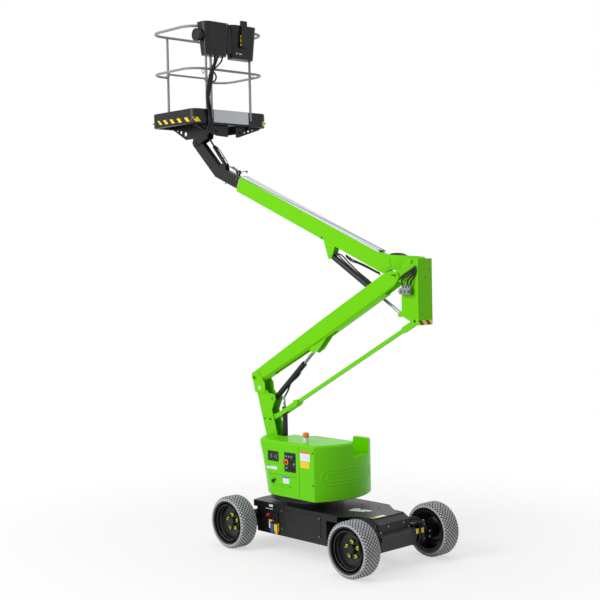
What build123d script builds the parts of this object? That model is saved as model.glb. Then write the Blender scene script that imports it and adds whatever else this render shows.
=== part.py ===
from build123d import *
import math
import os

os.makedirs("parts", exist_ok=True)

# Self-propelled articulating boom lift, parked with its booms part raised.
# Millimetres. +X is the end behind the turret's tail, the cage stands over -X,
# Z is up, and the origin is on the floor under the middle of the whole outline.

# ---------------------------------------------------------------- sizes
MID_X = 518.0                 # middle between the two axles
GAP = 0.3                     # seat clearance between pieces of different bodies

# wheels
TYRE_R = 304.0
TYRE_W = 232.0
TYRE_SHOULDER = 46.0
BEAD_R = 215.0                # tyre bore
FLANGE_R = 250.0
FLANGE_T = 8.0
BEAD_W = 204.0                # width between the rim flanges
HALF_BASE = 982.0             # half the wheelbase
HALF_TRACK = 634.0            # half the distance between wheel centres
DISC_S = 10.0                 # wheel disc, outward from the wheel's middle plane
DISC_T = 12.0
HUB_R = 52.0
HUB_L = 62.0
NUT_PCD_R = 80.0
NUT_R = 15.0
NUT_H = 20.0
NUT_COUNT = 5
SPINDLE_R = 25.0
SPINDLE_FIT = 0.05
MOTOR_R = 96.0

# chassis
SIDE_Y = 420.0
CORE_Y = 250.0
BEAM_Y = 290.0
SIDE_X0 = 172.0 - HALF_BASE
SIDE_X1 = 350.0
SIDE_Z0 = 190.0
SIDE_Z1 = 533.0
DECK_Z0 = 535.0
DECK_T = 13.0
END_TOP_X = HALF_BASE - 75.0
END_SLOPE_X = HALF_BASE + 5.0
END_SLOPE_Z = 490.0
BEAM_TOP_X = HALF_BASE + 91.0
BEAM_TOP_Z = 366.0
BEAM_LOW_X = HALF_BASE + 42.0
BEAM_LOW_Z = 198.0
BEAM_IN_X = HALF_BASE - 52.0
WALL = 10.0
KINGPIN_Y = 462.0
KINGPIN_R = 20.0
YOKE_T = 24.0
YOKE_Z0 = 186.0               # underside of the lower yoke arm
YOKE_Z1 = 422.0               # top of the upper yoke arm

# turret
SLEW_X = -385.0
SLEW_R = 230.0
SLEW_Z0 = DECK_Z0 + DECK_T
SLEW_H = 32.0
PLATFORM_R = 430.0
PLATFORM_Z0 = 600.0
PLATFORM_Z1 = 655.0
PLATFORM_TOP = PLATFORM_Z1 + 12.0
HOOD_Z0 = PLATFORM_Z1 + 7.0
HOOD_Z1 = 1288.0
RIM_Z = 1212.0                # low far side of the hood
BLOCK_X = 40.0                # where its tall far corner starts
HOOD_ROUND = 34.0
HOOD_Y = 453.0
TAIL_R = 745.0
FRONT_R0 = 462.0              # front arc at the hood's foot
FRONT_R1 = 553.0              # front arc at the hood's top
HOOD_WALL = 9.0
WELL_Y0 = 16.0
WELL_Y1 = 360.0
WELL_TAIL_Z = 1112.0
WELL_SLOPE = 0.37
POST_WELL_X = -610.0
POST_WELL_Y = -140.0

# lower arms: near and far faces of the post and the lower boom
LOW_Y0 = -112.0
LOW_Y1 = 12.0
LOW_MID = (LOW_Y0 + LOW_Y1) / 2
PLATE = 12.0
A_X, A_Z = -1150.0, 1945.0    # lower boom pivot on the post
LOW_LEN = 2609.0              # lower boom between its pivots
LOW_DEG = 28.0                # its slope as it stands
OFF_X, OFF_Z = 260.0, -480.0  # brace pivots from the boom's pivots
E_X, E_Z = -846.0, 1714.0     # lower lift cylinder on the post
K_ALONG, K_UP = 1068.0, -138.0
BEVEL = 30.0                  # on the lower boom's bottom edges
E_PIN_R = 14.0
LIFT_R = 33.0
LIFT_BARREL = 665.0
LIFT_ROD = 690.0

# upper boom: plane beside the lower arms
UP_Y0 = 22.0
UP_Y1 = 118.0
UP_MID = (UP_Y0 + UP_Y1) / 2
U_X, U_Z = 1370.0, 3320.0     # upper boom pivot on the upright
UP_DEG = 22.8
UP_TOP = 130.0                # top and bottom faces, down from the pivot line
UP_LOW = 320.0
L_ALONG, L_DOWN = 4072.0, 13.0      # cage pivot at the nose's end
UP_MOUTH = L_ALONG - 992.0
UP_WALL = 6.0
PAD0, PAD1 = UP_MOUTH - 80.0, UP_MOUTH + 14.0
V_X, V_Z = 1095.0, 2745.0     # upper lift cylinder on the upright
W_ALONG, W_DOWN = 1260.0, 450.0
TILT_R = 33.0
TILT_BARREL = 775.0
TILT_ROD = 780.0

# upright
UR_Y = 112.0
UR_STEP_X = 1300.0             # where the upright's top slopes down
UR_STEP_Z = 3270.0
LUG_TOP_Z = 3250.0             # top of the plates beside the lower boom's pin
VALVE_X0 = 1246.0              # valve block on the upright
VALVE_Z1 = 3040.0
UR_X0 = 1228.0
UR_X1 = 1478.0
UR_LEFT_Z = 2740.0
UR_LOW_Z = 2646.0
UR_TOP_Z = 3345.0

# nose
NOSE_Y0 = 34.0
NOSE_Y1 = 106.0
NOSE_TOP = 149.0
NOSE_LOW = 295.0
NOSE_REAR = 1500.0
CRANK = L_ALONG - 520.0
LEV_ALONG, LEV_DOWN = L_ALONG - 622.0, 105.0  # levelling cylinder on the nose
LEV_ARM_X, LEV_ARM_Z = 175.0, 93.0   # its rod's eye from the cage pivot
LEV_R = 23.0
LEV_BARREL = 330.0
LEV_ROD = 380.0

# cage: sizes, and places from its pivot on the nose
CAGE_AHEAD = 323.9
FLOOR_UP = 214.0
RAIL_X = 865.0
RAIL_Y = 1188.0
RAIL_CORNER = 210.0
TUBE_R = 17.0
POST_R = 16.0
MID_RAIL_UP = 594.0
TOP_RAIL_UP = 1100.0
TOE_UP = 110.0
TOE_DOWN = 70.0
TOE_X = 876.0
TOE_Y = 1176.0
TOE_T = 46.0
POST_Y = 310.0
CONSOLE_WALL = 5.0
CONSOLE_X = 478.0
CONSOLE_UP = 1140.0
HOSE_R = 12.0


def low_pt(along, up):
    """Place in the side view from the lower boom's pivot, along and square to it."""
    a = math.radians(LOW_DEG)
    x = A_X + along * math.cos(a) - up * math.sin(a)
    return (MID_X + x, A_Z + along * math.sin(a) + up * math.cos(a))


def up_pt(along, down):
    """Place in the side view from the upper boom's pivot, towards the cage and down."""
    a = math.radians(UP_DEG)
    x = U_X - along * math.cos(a) - down * math.sin(a)
    return (MID_X + x, U_Z + along * math.sin(a) - down * math.cos(a))


def at(x, z):
    """Place in the side view from the middle between the axles."""
    return (MID_X + x, z)


def side(y1):
    """Side-view sketch plane at y1, whose extrusions run towards -Y."""
    return Plane.XZ.offset(-y1)


def slab(points, y0, y1, mode=Mode.ADD):
    """Plate of a side-view outline between two Y places."""
    with BuildSketch(side(y1)) as outline:
        Polygon(*points, align=None)
    extrude(outline.sketch, amount=y1 - y0, mode=mode)


def disc(centre, radius, y0, y1, mode=Mode.ADD):
    """Round boss, pin or bore along Y."""
    with BuildSketch(side(y1)) as outline:
        with Locations(centre):
            Circle(radius)
    extrude(outline.sketch, amount=y1 - y0, mode=mode)


def plan(points, z0, z1, mode=Mode.ADD):
    """Plate of a plan outline between two heights."""
    with BuildSketch(Plane.XY.offset(z0)) as outline:
        Polygon(*points, align=None)
    extrude(outline.sketch, amount=z1 - z0, mode=mode)


def box(x0, x1, y0, y1, z0, z1, mode=Mode.ADD):
    """Block between two places on each axis, X from the middle between the axles."""
    with BuildSketch(Plane.XY.offset(z0)) as outline:
        with Locations((MID_X + (x0 + x1) / 2, (y0 + y1) / 2)):
            Rectangle(x1 - x0, y1 - y0)
    extrude(outline.sketch, amount=z1 - z0, mode=mode)


def bar(start, end, radius, y, back=0.0, mode=Mode.ADD):
    """Round bar in the side view from start to end, at one Y."""
    dx = end[0] - start[0]
    dz = end[1] - start[1]
    length = math.hypot(dx, dz)
    axis = Plane(origin=(start[0], y, start[1]), x_dir=(0, 1, 0), z_dir=(dx, 0, dz))
    with BuildSketch(axis.offset(-back)) as outline:
        Circle(radius)
    extrude(outline.sketch, amount=length + back, mode=mode)


def toward(start, end, distance):
    """Point at a distance from start on the line to end."""
    dx = end[0] - start[0]
    dz = end[1] - start[1]
    length = math.hypot(dx, dz)
    return (start[0] + dx * distance / length, start[1] + dz * distance / length)


def save(part, name):
    part.label = name
    export_step(part, f"parts/{name}.step")


A_PIN = at(A_X, A_Z)
B_PIN = low_pt(LOW_LEN, 0.0)
C_PIN = (A_PIN[0] + OFF_X, A_PIN[1] + OFF_Z)
D_PIN = (B_PIN[0] + OFF_X, B_PIN[1] + OFF_Z)
E_PIN = at(E_X, E_Z)
K_PIN = low_pt(K_ALONG, K_UP)
U_PIN = at(U_X, U_Z)
V_PIN = at(V_X, V_Z)
W_PIN = up_pt(W_ALONG, W_DOWN)
L_PIN = up_pt(L_ALONG, L_DOWN)
M_PIN = up_pt(LEV_ALONG, LEV_DOWN)
N_PIN = (L_PIN[0] + LEV_ARM_X, L_PIN[1] + LEV_ARM_Z)
CAGE_X = L_PIN[0] - MID_X + CAGE_AHEAD
FLOOR_Z = L_PIN[1] + FLOOR_UP
MID_RAIL_Z = FLOOR_Z + MID_RAIL_UP
TOP_RAIL_Z = FLOOR_Z + TOP_RAIL_UP
TOE_Z0 = FLOOR_Z - TOE_DOWN
TOE_Z1 = FLOOR_Z + TOE_UP

# ---------------------------------------------------------------- wheels
# name, which axle, which side
WHEELS = [
    ("front_right", -1, -1),
    ("front_left", -1, 1),
    ("rear_right", 1, -1),
    ("rear_left", 1, 1),
]
for name, end, hand in WHEELS:
    wheel_x = MID_X + end * HALF_BASE
    hub = Plane(origin=(wheel_x, hand * HALF_TRACK, TYRE_R), x_dir=(0, hand, 0), z_dir=(hand, 0, 0))
    spin = Axis((wheel_x, 0, TYRE_R), (0, 1, 0))
    half = TYRE_W / 2
    bead = BEAD_W / 2
    crown = half - TYRE_SHOULDER
    with BuildPart() as tyre:
        with BuildSketch(hub):
            with BuildLine():
                Polyline((-bead, BEAD_R), (bead, BEAD_R), (bead, FLANGE_R + 2), (half, FLANGE_R + 10))
                RadiusArc((half, FLANGE_R + 10), (crown, TYRE_R), -TYRE_SHOULDER)
                Line((crown, TYRE_R), (-crown, TYRE_R))
                RadiusArc((-crown, TYRE_R), (-half, FLANGE_R + 10), -TYRE_SHOULDER)
                Polyline((-half, FLANGE_R + 10), (-bead, FLANGE_R + 2), (-bead, BEAD_R))
            make_face()
        revolve(axis=spin)
    save(tyre.part, f"tyre_{name}")
    barrel_r = BEAD_R - GAP
    with BuildPart() as rim:
        with BuildSketch(hub):
            Polygon(
                (-bead - FLANGE_T, FLANGE_R), (-bead - FLANGE_T, FLANGE_R - 12), (-bead, 204),
                (DISC_S, 204), (DISC_S + 0, 150), (DISC_S - 14, 110), (DISC_S - 14, SPINDLE_R + SPINDLE_FIT),
                (HUB_L - 8, SPINDLE_R + SPINDLE_FIT), (HUB_L - 8, 0), (HUB_L, 0),
                (HUB_L, HUB_R - 10), (HUB_L - 10, HUB_R), (DISC_S + 2, HUB_R), (DISC_S - 2, 104),
                (DISC_S + DISC_T, 150), (DISC_S + DISC_T, 186), (50, 200), (86, 206),
                (bead - 8, 226), (bead + FLANGE_T - 2, 238), (bead + FLANGE_T, FLANGE_R),
                (bead, FLANGE_R), (bead, barrel_r), (-bead, barrel_r), (-bead, FLANGE_R),
                align=None,
            )
        revolve(axis=spin)
        with BuildSketch(Plane(origin=(wheel_x, hand * (HALF_TRACK + DISC_S - 4), TYRE_R),
                               x_dir=(1, 0, 0), z_dir=(0, hand, 0))):
            with PolarLocations(NUT_PCD_R, NUT_COUNT, start_angle=18):
                RegularPolygon(NUT_R, 6)
        extrude(amount=NUT_H)
    save(rim.part, f"rim_{name}")

# ---------------------------------------------------------------- chassis
with BuildPart() as chassis_frame:
    core = [
        at(-END_TOP_X, DECK_Z0), at(-END_SLOPE_X, END_SLOPE_Z), at(-END_SLOPE_X, 380),
        at(-END_SLOPE_X, BEAM_LOW_Z), at(END_SLOPE_X, BEAM_LOW_Z), at(END_SLOPE_X, 380),
        at(END_SLOPE_X, END_SLOPE_Z), at(END_TOP_X, DECK_Z0),
    ]
    slab(core, -CORE_Y, CORE_Y)
    hollow = [
        at(-END_TOP_X + 10, DECK_Z0 - WALL), at(-END_SLOPE_X + WALL, END_SLOPE_Z - 6),
        at(-END_SLOPE_X + WALL, BEAM_LOW_Z + WALL), at(END_SLOPE_X - WALL, BEAM_LOW_Z + WALL),
        at(END_SLOPE_X - WALL, END_SLOPE_Z - 6), at(END_TOP_X - 10, DECK_Z0 - WALL),
    ]
    slab(hollow, -CORE_Y + WALL, CORE_Y - WALL, mode=Mode.SUBTRACT)
    for end in (-1, 1):
        beam = [
            at(end * END_SLOPE_X, 398), at(end * BEAM_TOP_X, BEAM_TOP_Z),
            at(end * (BEAM_TOP_X - 4), BEAM_TOP_Z - 16), at(end * BEAM_LOW_X, BEAM_LOW_Z),
            at(end * BEAM_IN_X, BEAM_LOW_Z), at(end * BEAM_IN_X, 398),
        ]
        slab(beam, -BEAM_Y, BEAM_Y)
        inner = [
            at(end * (END_SLOPE_X - 2), 388), at(end * (BEAM_TOP_X - 18), BEAM_TOP_Z - 8),
            at(end * (BEAM_LOW_X - 10), BEAM_LOW_Z + 9), at(end * (BEAM_IN_X + 10), BEAM_LOW_Z + 9),
            at(end * (BEAM_IN_X + 10), 388),
        ]
        slab(inner, -BEAM_Y + 9, BEAM_Y - 9, mode=Mode.SUBTRACT)
    for hand in (-1, 1):
        y0 = min(hand * (CORE_Y - 2), hand * SIDE_Y)
        y1 = max(hand * (CORE_Y - 2), hand * SIDE_Y)
        box(SIDE_X0, SIDE_X1, y0, y1, SIDE_Z0, SIDE_Z1 + 2)
        y0 = min(hand * CORE_Y, hand * (SIDE_Y - 6))
        y1 = max(hand * CORE_Y, hand * (SIDE_Y - 6))
        box(SIDE_X0 + 6, SIDE_X1 - 6, y0, y1, SIDE_Z0 + 6, SIDE_Z1 - 6, mode=Mode.SUBTRACT)
        y0 = min(hand * SIDE_Y, hand * (SIDE_Y + 5))
        y1 = max(hand * SIDE_Y, hand * (SIDE_Y + 5))
        box(-392, 263, y0, y1, 263, 499)
    deck = [
        (MID_X - END_TOP_X, -238), (MID_X - END_TOP_X + 37, -SIDE_Y),
        (MID_X + 520, -SIDE_Y), (MID_X + 735, -262),
        (MID_X + END_TOP_X, -238), (MID_X + END_TOP_X, 238),
        (MID_X + 735, 262), (MID_X + 520, SIDE_Y),
        (MID_X - END_TOP_X + 37, SIDE_Y), (MID_X - END_TOP_X, 238),
    ]
    plan(deck, DECK_Z0, DECK_Z0 + DECK_T)
    for hand in (-1, 1):
        for x0, x1 in ((SIDE_X0 - 60, SIDE_X0), (SIDE_X1, SIDE_X1 + 170)):
            y0 = min(hand * (CORE_Y - 2), hand * SIDE_Y)
            y1 = max(hand * (CORE_Y - 2), hand * SIDE_Y)
            box(x0, x1, y0, y1, DECK_Z0 - 60, DECK_Z0)
    for hand in (-1, 1):
        # yoke arms of the steering axle
        y0 = min(hand * (BEAM_Y - 10), hand * (KINGPIN_Y + 34))
        y1 = max(hand * (BEAM_Y - 10), hand * (KINGPIN_Y + 34))
        box(HALF_BASE - 45, HALF_BASE + 30, y0, y1, YOKE_Z0, YOKE_Z0 + YOKE_T)
        box(HALF_BASE - 45, HALF_BASE + 30, y0, y1, YOKE_Z1 - YOKE_T, YOKE_Z1)
        y0 = min(hand * (BEAM_Y - 20), hand * BEAM_Y)
        y1 = max(hand * (BEAM_Y - 20), hand * BEAM_Y)
        box(HALF_BASE - 45, HALF_BASE + 30, y0, y1, YOKE_Z0, YOKE_Z1)
        with BuildSketch(Plane.XY.offset(YOKE_Z0 - 8)):
            with Locations((MID_X + HALF_BASE, hand * KINGPIN_Y)):
                Circle(KINGPIN_R)
        extrude(amount=YOKE_Z1 - YOKE_Z0 + 16)
        # fixed axle: tube, hub motor and spindle
        for radius, from_y, to_y in (
            (48.0, CORE_Y - 4, HALF_TRACK - 110),
            (MOTOR_R, HALF_TRACK - 116, HALF_TRACK - 12),
            (SPINDLE_R, HALF_TRACK - 20, HALF_TRACK + HUB_L - 10),
        ):
            y0 = min(hand * from_y, hand * to_y)
            y1 = max(hand * from_y, hand * to_y)
            disc(at(-HALF_BASE, TYRE_R), radius, y0, y1)
save(chassis_frame.part, "chassis_frame")

with BuildPart() as battery_pack:
    for hand in (-1, 1):
        y0 = min(hand * (CORE_Y + 8), hand * (SIDE_Y - 14))
        y1 = max(hand * (CORE_Y + 8), hand * (SIDE_Y - 14))
        box(SIDE_X0 + 60, SIDE_X1 - 60, y0, y1, SIDE_Z0 + 6, SIDE_Z0 + 250)
save(battery_pack.part, "battery_pack")

with BuildPart() as slew_ring:
    with BuildSketch(Plane.XY.offset(SLEW_Z0)):
        with Locations((MID_X + SLEW_X, 0)):
            Circle(SLEW_R)
    extrude(amount=SLEW_H)
save(slew_ring.part, "slew_ring")

with BuildPart() as isolator_knob:
    disc(at(-600, 406), 20, -SIDE_Y - 22, -SIDE_Y)
    disc(at(-600, 406), 13, -SIDE_Y - 34, -SIDE_Y - 22)
save(isolator_knob.part, "isolator_knob")

with BuildPart() as plug_connectors:
    for plug_x in (-522.0, -455.0):
        box(plug_x - 24, plug_x + 24, -SIDE_Y - 34, -SIDE_Y, 236, 330)
        box(plug_x - 15, plug_x + 15, -SIDE_Y - 28, -SIDE_Y - 6, 206, 236)
save(plug_connectors.part, "plug_connectors")

# steering knuckles: boss on the kingpin, hub motor and spindle
for name, hand in (("right", -1), ("left", 1)):
    with BuildPart() as knuckle:
        boss_z0 = YOKE_Z0 + YOKE_T + GAP
        boss_z1 = YOKE_Z1 - YOKE_T - GAP
        with BuildSketch(Plane.XY.offset(boss_z0)):
            with Locations((MID_X + HALF_BASE, hand * KINGPIN_Y)):
                Circle(36)
        extrude(amount=boss_z1 - boss_z0)
        y0 = min(hand * KINGPIN_Y, hand * (HALF_TRACK - 100))
        y1 = max(hand * KINGPIN_Y, hand * (HALF_TRACK - 100))
        box(HALF_BASE - 34, HALF_BASE + 34, y0, y1, TYRE_R - 62, TYRE_R + 62)
        for radius, from_y, to_y in (
            (MOTOR_R, HALF_TRACK - 116, HALF_TRACK - 12),
            (SPINDLE_R, HALF_TRACK - 20, HALF_TRACK + HUB_L - 10),
        ):
            y0 = min(hand * from_y, hand * to_y)
            y1 = max(hand * from_y, hand * to_y)
            disc(at(HALF_BASE, TYRE_R), radius, y0, y1)
        with BuildSketch(Plane.XY.offset(boss_z0 - 1)):
            with Locations((MID_X + HALF_BASE, hand * KINGPIN_Y)):
                Circle(KINGPIN_R + SPINDLE_FIT)
        extrude(amount=boss_z1 - boss_z0 + 2, mode=Mode.SUBTRACT)
    save(knuckle.part, f"knuckle_{name}")

# ---------------------------------------------------------------- turret
def hood_plan(front_r, tail_r, half_y, z):
    """Plan outline of the hood: two flats, a round tail and a round front."""
    front_x = MID_X + SLEW_X - math.sqrt(front_r**2 - half_y**2)
    tail_x = MID_X + SLEW_X + math.sqrt(tail_r**2 - half_y**2)
    with BuildSketch(Plane.XY.offset(z)) as outline:
        with BuildLine():
            Line((front_x, -half_y), (tail_x, -half_y))
            ThreePointArc((tail_x, -half_y), (MID_X + SLEW_X + tail_r, 0), (tail_x, half_y))
            Line((tail_x, half_y), (front_x, half_y))
            ThreePointArc((front_x, half_y), (MID_X + SLEW_X - front_r, 0), (front_x, -half_y))
        make_face()
    return outline.sketch


with BuildPart() as turret_platform:
    for radius, z0, z1 in (
        (SLEW_R - 18, SLEW_Z0 + SLEW_H + GAP, PLATFORM_Z0), (PLATFORM_R, PLATFORM_Z0, PLATFORM_Z1),
    ):
        with BuildSketch(Plane.XY.offset(z0)):
            with Locations((MID_X + SLEW_X, 0)):
                Circle(radius)
        extrude(amount=z1 - z0)
    carrier = hood_plan(FRONT_R0 - 12, TAIL_R - HOOD_WALL, HOOD_Y - HOOD_WALL, PLATFORM_Z1)
    extrude(carrier, amount=PLATFORM_TOP - PLATFORM_Z1)
save(turret_platform.part, "turret_platform")


def well_side(wall):
    """Side view of the well the booms come down into, less one wall."""
    return [
        at(400, 1400), at(400, WELL_TAIL_Z - wall), at(200, WELL_TAIL_Z - wall),
        at(-1000, WELL_TAIL_Z - 1200 * WELL_SLOPE - wall), at(-1000, 1400),
    ]


def cut_wells(wall):
    """Well beside the near cover, the deeper one round the post, and the low far side."""
    slab(well_side(wall), WELL_Y0 - wall, WELL_Y1 + wall, mode=Mode.SUBTRACT)
    post_well = [at(POST_WELL_X + wall, 1400), at(POST_WELL_X + wall, 700 - wall),
                 at(-1000, 700 - wall), at(-1000, 1400)]
    slab(post_well, POST_WELL_Y - wall, WELL_Y0 + 1, mode=Mode.SUBTRACT)
    low_rim = [at(BLOCK_X - 30 + wall, RIM_Z - wall), at(BLOCK_X + wall, 1400), at(-1000, 1400),
               at(-1000, RIM_Z - wall)]
    slab(low_rim, WELL_Y1 - 1, HOOD_Y + 1, mode=Mode.SUBTRACT)


with BuildPart() as hood_space:
    loft([
        hood_plan(FRONT_R0 - 8, TAIL_R - HOOD_WALL, HOOD_Y - HOOD_WALL, HOOD_Z0 - 10),
        hood_plan(FRONT_R1 - 12, TAIL_R - HOOD_WALL, HOOD_Y - HOOD_WALL, HOOD_Z1 - HOOD_WALL),
    ], ruled=True)
    fillet(hood_space.edges().group_by(Axis.Z)[-1], HOOD_ROUND - HOOD_WALL)
    cut_wells(HOOD_WALL)
with BuildPart() as turret_hood:
    loft([
        hood_plan(FRONT_R0, TAIL_R, HOOD_Y, HOOD_Z0),
        hood_plan(FRONT_R1, TAIL_R, HOOD_Y, HOOD_Z1),
    ], ruled=True)
    fillet(turret_hood.edges().group_by(Axis.Z)[-1], HOOD_ROUND)
    cut_wells(0.0)
    add(hood_space.part, mode=Mode.SUBTRACT)
    foot = [at(-900, 600), at(-540, 600), at(-640, 1000), at(-960, 1000)]
    slab(foot, LOW_Y0 - 32, LOW_Y1 + 2, mode=Mode.SUBTRACT)
    # pockets for the two panels and the handle ledge on the near side
    for x0, x1, z0, z1 in ((-565, -378, 1047, 1170), (-284, -89, 949, 1178)):
        box(x0, x1, -HOOD_Y - 5, -HOOD_Y + 5, z0, z1, mode=Mode.SUBTRACT)
    box(-526, -183, -HOOD_Y - 10, -HOOD_Y + 2, 775, 791)
save(turret_hood.part, "turret_hood")

with BuildPart() as control_panels:
    for x0, x1, z0, z1 in ((-560, -383, 1052, 1165), (-279, -94, 954, 1173)):
        box(x0, x1, -HOOD_Y + 1, -HOOD_Y + 5, z0, z1)
    disc(at(-247, 1062), 18, -HOOD_Y - 24, -HOOD_Y + 1)
    disc(at(-247, 1062), 26, -HOOD_Y - 32, -HOOD_Y - 24)
save(control_panels.part, "control_panels")

with BuildPart() as counterweight:
    with BuildSketch(Plane.XY.offset(PLATFORM_TOP)):
        with Locations((MID_X + SLEW_X, 0)):
            Circle(TAIL_R - 24)
        with Locations((MID_X + 145, 0)):
            Rectangle(420, 860, mode=Mode.INTERSECT)
    extrude(amount=325)
save(counterweight.part, "counterweight")

with BuildPart() as beacon_base:
    with BuildSketch(Plane.XY.offset(HOOD_Z1)):
        with Locations((MID_X - 78, -300)):
            Circle(34)
    extrude(amount=54, taper=6)
save(beacon_base.part, "beacon_base")

with BuildPart() as beacon_lens:
    with BuildSketch(Plane.XY.offset(HOOD_Z1 + 54)):
        with Locations((MID_X - 78, -300)):
            Circle(31)
    extrude(amount=58, taper=4)
    fillet(beacon_lens.edges().group_by(Axis.Z)[-1], 12)
save(beacon_lens.part, "beacon_lens")

with BuildPart() as mast_post:
    post_side = [at(-784, PLATFORM_TOP), at(-585, PLATFORM_TOP), at(-933, 1795), at(-1150, 1850)]
    for y0, y1 in ((LOW_Y0, LOW_Y0 + PLATE), (LOW_Y1 - PLATE, LOW_Y1)):
        slab(post_side, y0, y1)
        lug = [at(-925, 1770), at(-830, 1765), at(-806, 1700), at(-866, 1575)]
        slab(lug, y0, y1)
        disc(E_PIN, 46, y0, y1)
    web = [at(-784, PLATFORM_TOP), at(-768, PLATFORM_TOP), at(-1134, 1846), at(-1150, 1850)]
    slab(web, LOW_Y0, LOW_Y1)
    box(-820, -560, LOW_Y0 - 24, LOW_Y1, PLATFORM_TOP, PLATFORM_TOP + 16)
    cheek = [
        at(-1204, 1985), at(-1146, 1770), at(-964, 1767), at(-975, 1890),
        at(-1078, 2010), at(-1182, 2012),
    ]
    slab(cheek, LOW_Y0 - PLATE, LOW_Y0 - GAP)
    slab(cheek, LOW_Y1 + GAP, LOW_Y1 + PLATE)
    seat = [at(-1146, 1770), at(-964, 1767), at(-966, 1790), at(-1140, 1830)]
    slab(seat, LOW_Y0 - GAP, LOW_Y0)
    slab(seat, LOW_Y1, LOW_Y1 + GAP)
    disc(A_PIN, 25, LOW_Y0 - PLATE - 8, LOW_Y1 + PLATE + 6)
    disc(C_PIN, 18, LOW_Y0 - 8, LOW_Y1 + 6)
    disc(E_PIN, E_PIN_R, LOW_Y0 - 10, LOW_Y1 + 6)
save(mast_post.part, "mast_post")

with BuildPart() as hose_guard:
    box(-722, -678, -72, -28, PLATFORM_TOP + 16, 1620)
save(hose_guard.part, "hose_guard")

# ---------------------------------------------------------------- lower boom, brace and upright
with BuildPart() as lower_boom:
    skin = [
        low_pt(-62, -45), low_pt(-62, 40), low_pt(-25, 68), low_pt(60, 72), low_pt(1300, 92),
        low_pt(2480, 95), low_pt(2600, 62), low_pt(2652, 12), low_pt(2652, -40), low_pt(2610, -64),
        low_pt(2480, -112), low_pt(1350, -118), low_pt(60, -88), low_pt(-25, -75),
    ]
    slab(skin, LOW_Y0, LOW_Y1)
    # the two long bottom edges are bevelled
    slope = math.tan(math.radians(LOW_DEG))
    below = lower_boom.edges().filter_by(
        lambda e: e.length > 900 and (e @ 0.5).Z < A_Z - 30 + slope * ((e @ 0.5).X - MID_X - A_X)
    )
    chamfer(below, BEVEL)
    bore = [low_pt(110, -52), low_pt(110, 62), low_pt(1300, 84), low_pt(2340, 87),
            low_pt(2340, -78), low_pt(1350, -82)]
    slab(bore, LOW_Y0 + 8, LOW_Y1 - 8, mode=Mode.SUBTRACT)
    keel = [low_pt(110, -80), low_pt(110, -50), low_pt(2340, -76), low_pt(2340, -105), low_pt(1350, -110)]
    slab(keel, LOW_MID - 26, LOW_MID + 26, mode=Mode.SUBTRACT)
    fork = [low_pt(2370, -200), low_pt(2370, 200), low_pt(2700, 200), low_pt(2700, -200)]
    slab(fork, LOW_Y0 + PLATE, LOW_Y1 - PLATE, mode=Mode.SUBTRACT)
    disc(A_PIN, 25 + SPINDLE_FIT, LOW_Y0 - 1, LOW_Y1 + 1, mode=Mode.SUBTRACT)
    disc(B_PIN, 22, LOW_Y0 - 6, LOW_Y1 + 4)
    pocket = [low_pt(300, -150), low_pt(300, -30), low_pt(1500, -30), low_pt(1500, -150)]
    slab(pocket, LOW_MID - 36, LOW_MID + 36, mode=Mode.SUBTRACT)
    ear = [low_pt(1000, -105), low_pt(1335, -112), low_pt(1150, -176), low_pt(1050, -176)]
    for y0, y1 in ((-100, -88), (-12, 0)):
        slab(ear, y0, y1)
        disc(K_PIN, 42, y0, y1)
save(lower_boom.part, "lower_boom")

with BuildPart() as brace:
    a = math.radians(LOW_DEG)

    def brace_pt(along, up):
        """Place from the brace's lower pivot, along and square to it."""
        x = C_PIN[0] + along * math.cos(a) - up * math.sin(a)
        return (x, C_PIN[1] + along * math.sin(a) + up * math.cos(a))

    for y0, y1 in ((-95, -85), (-15, -5)):
        prong = [brace_pt(0, -32), brace_pt(0, 32), brace_pt(60, 32), brace_pt(120, 19), brace_pt(430, 19),
                 brace_pt(470, 36), brace_pt(520, 20), brace_pt(520, -20), brace_pt(470, -36)]
        slab(prong, y0, y1)
        disc(C_PIN, 32, y0, y1)
    slab([brace_pt(462, -34), brace_pt(462, 34), brace_pt(520, 20), brace_pt(520, -20)], -95, -5)
    slab([brace_pt(500, -19), brace_pt(500, 19), brace_pt(2380, 19), brace_pt(2380, -19)], -69, -31)
    slab([brace_pt(2340, -20), brace_pt(2390, 30), brace_pt(2609, 30), brace_pt(2609, -30),
          brace_pt(2390, -30)], -76, -24)
    disc(D_PIN, 30, -76, -24)
    disc(C_PIN, 18 + SPINDLE_FIT, -100, 0, mode=Mode.SUBTRACT)
    disc(D_PIN, 16 + SPINDLE_FIT, -80, -20, mode=Mode.SUBTRACT)
save(brace.part, "brace")

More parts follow.
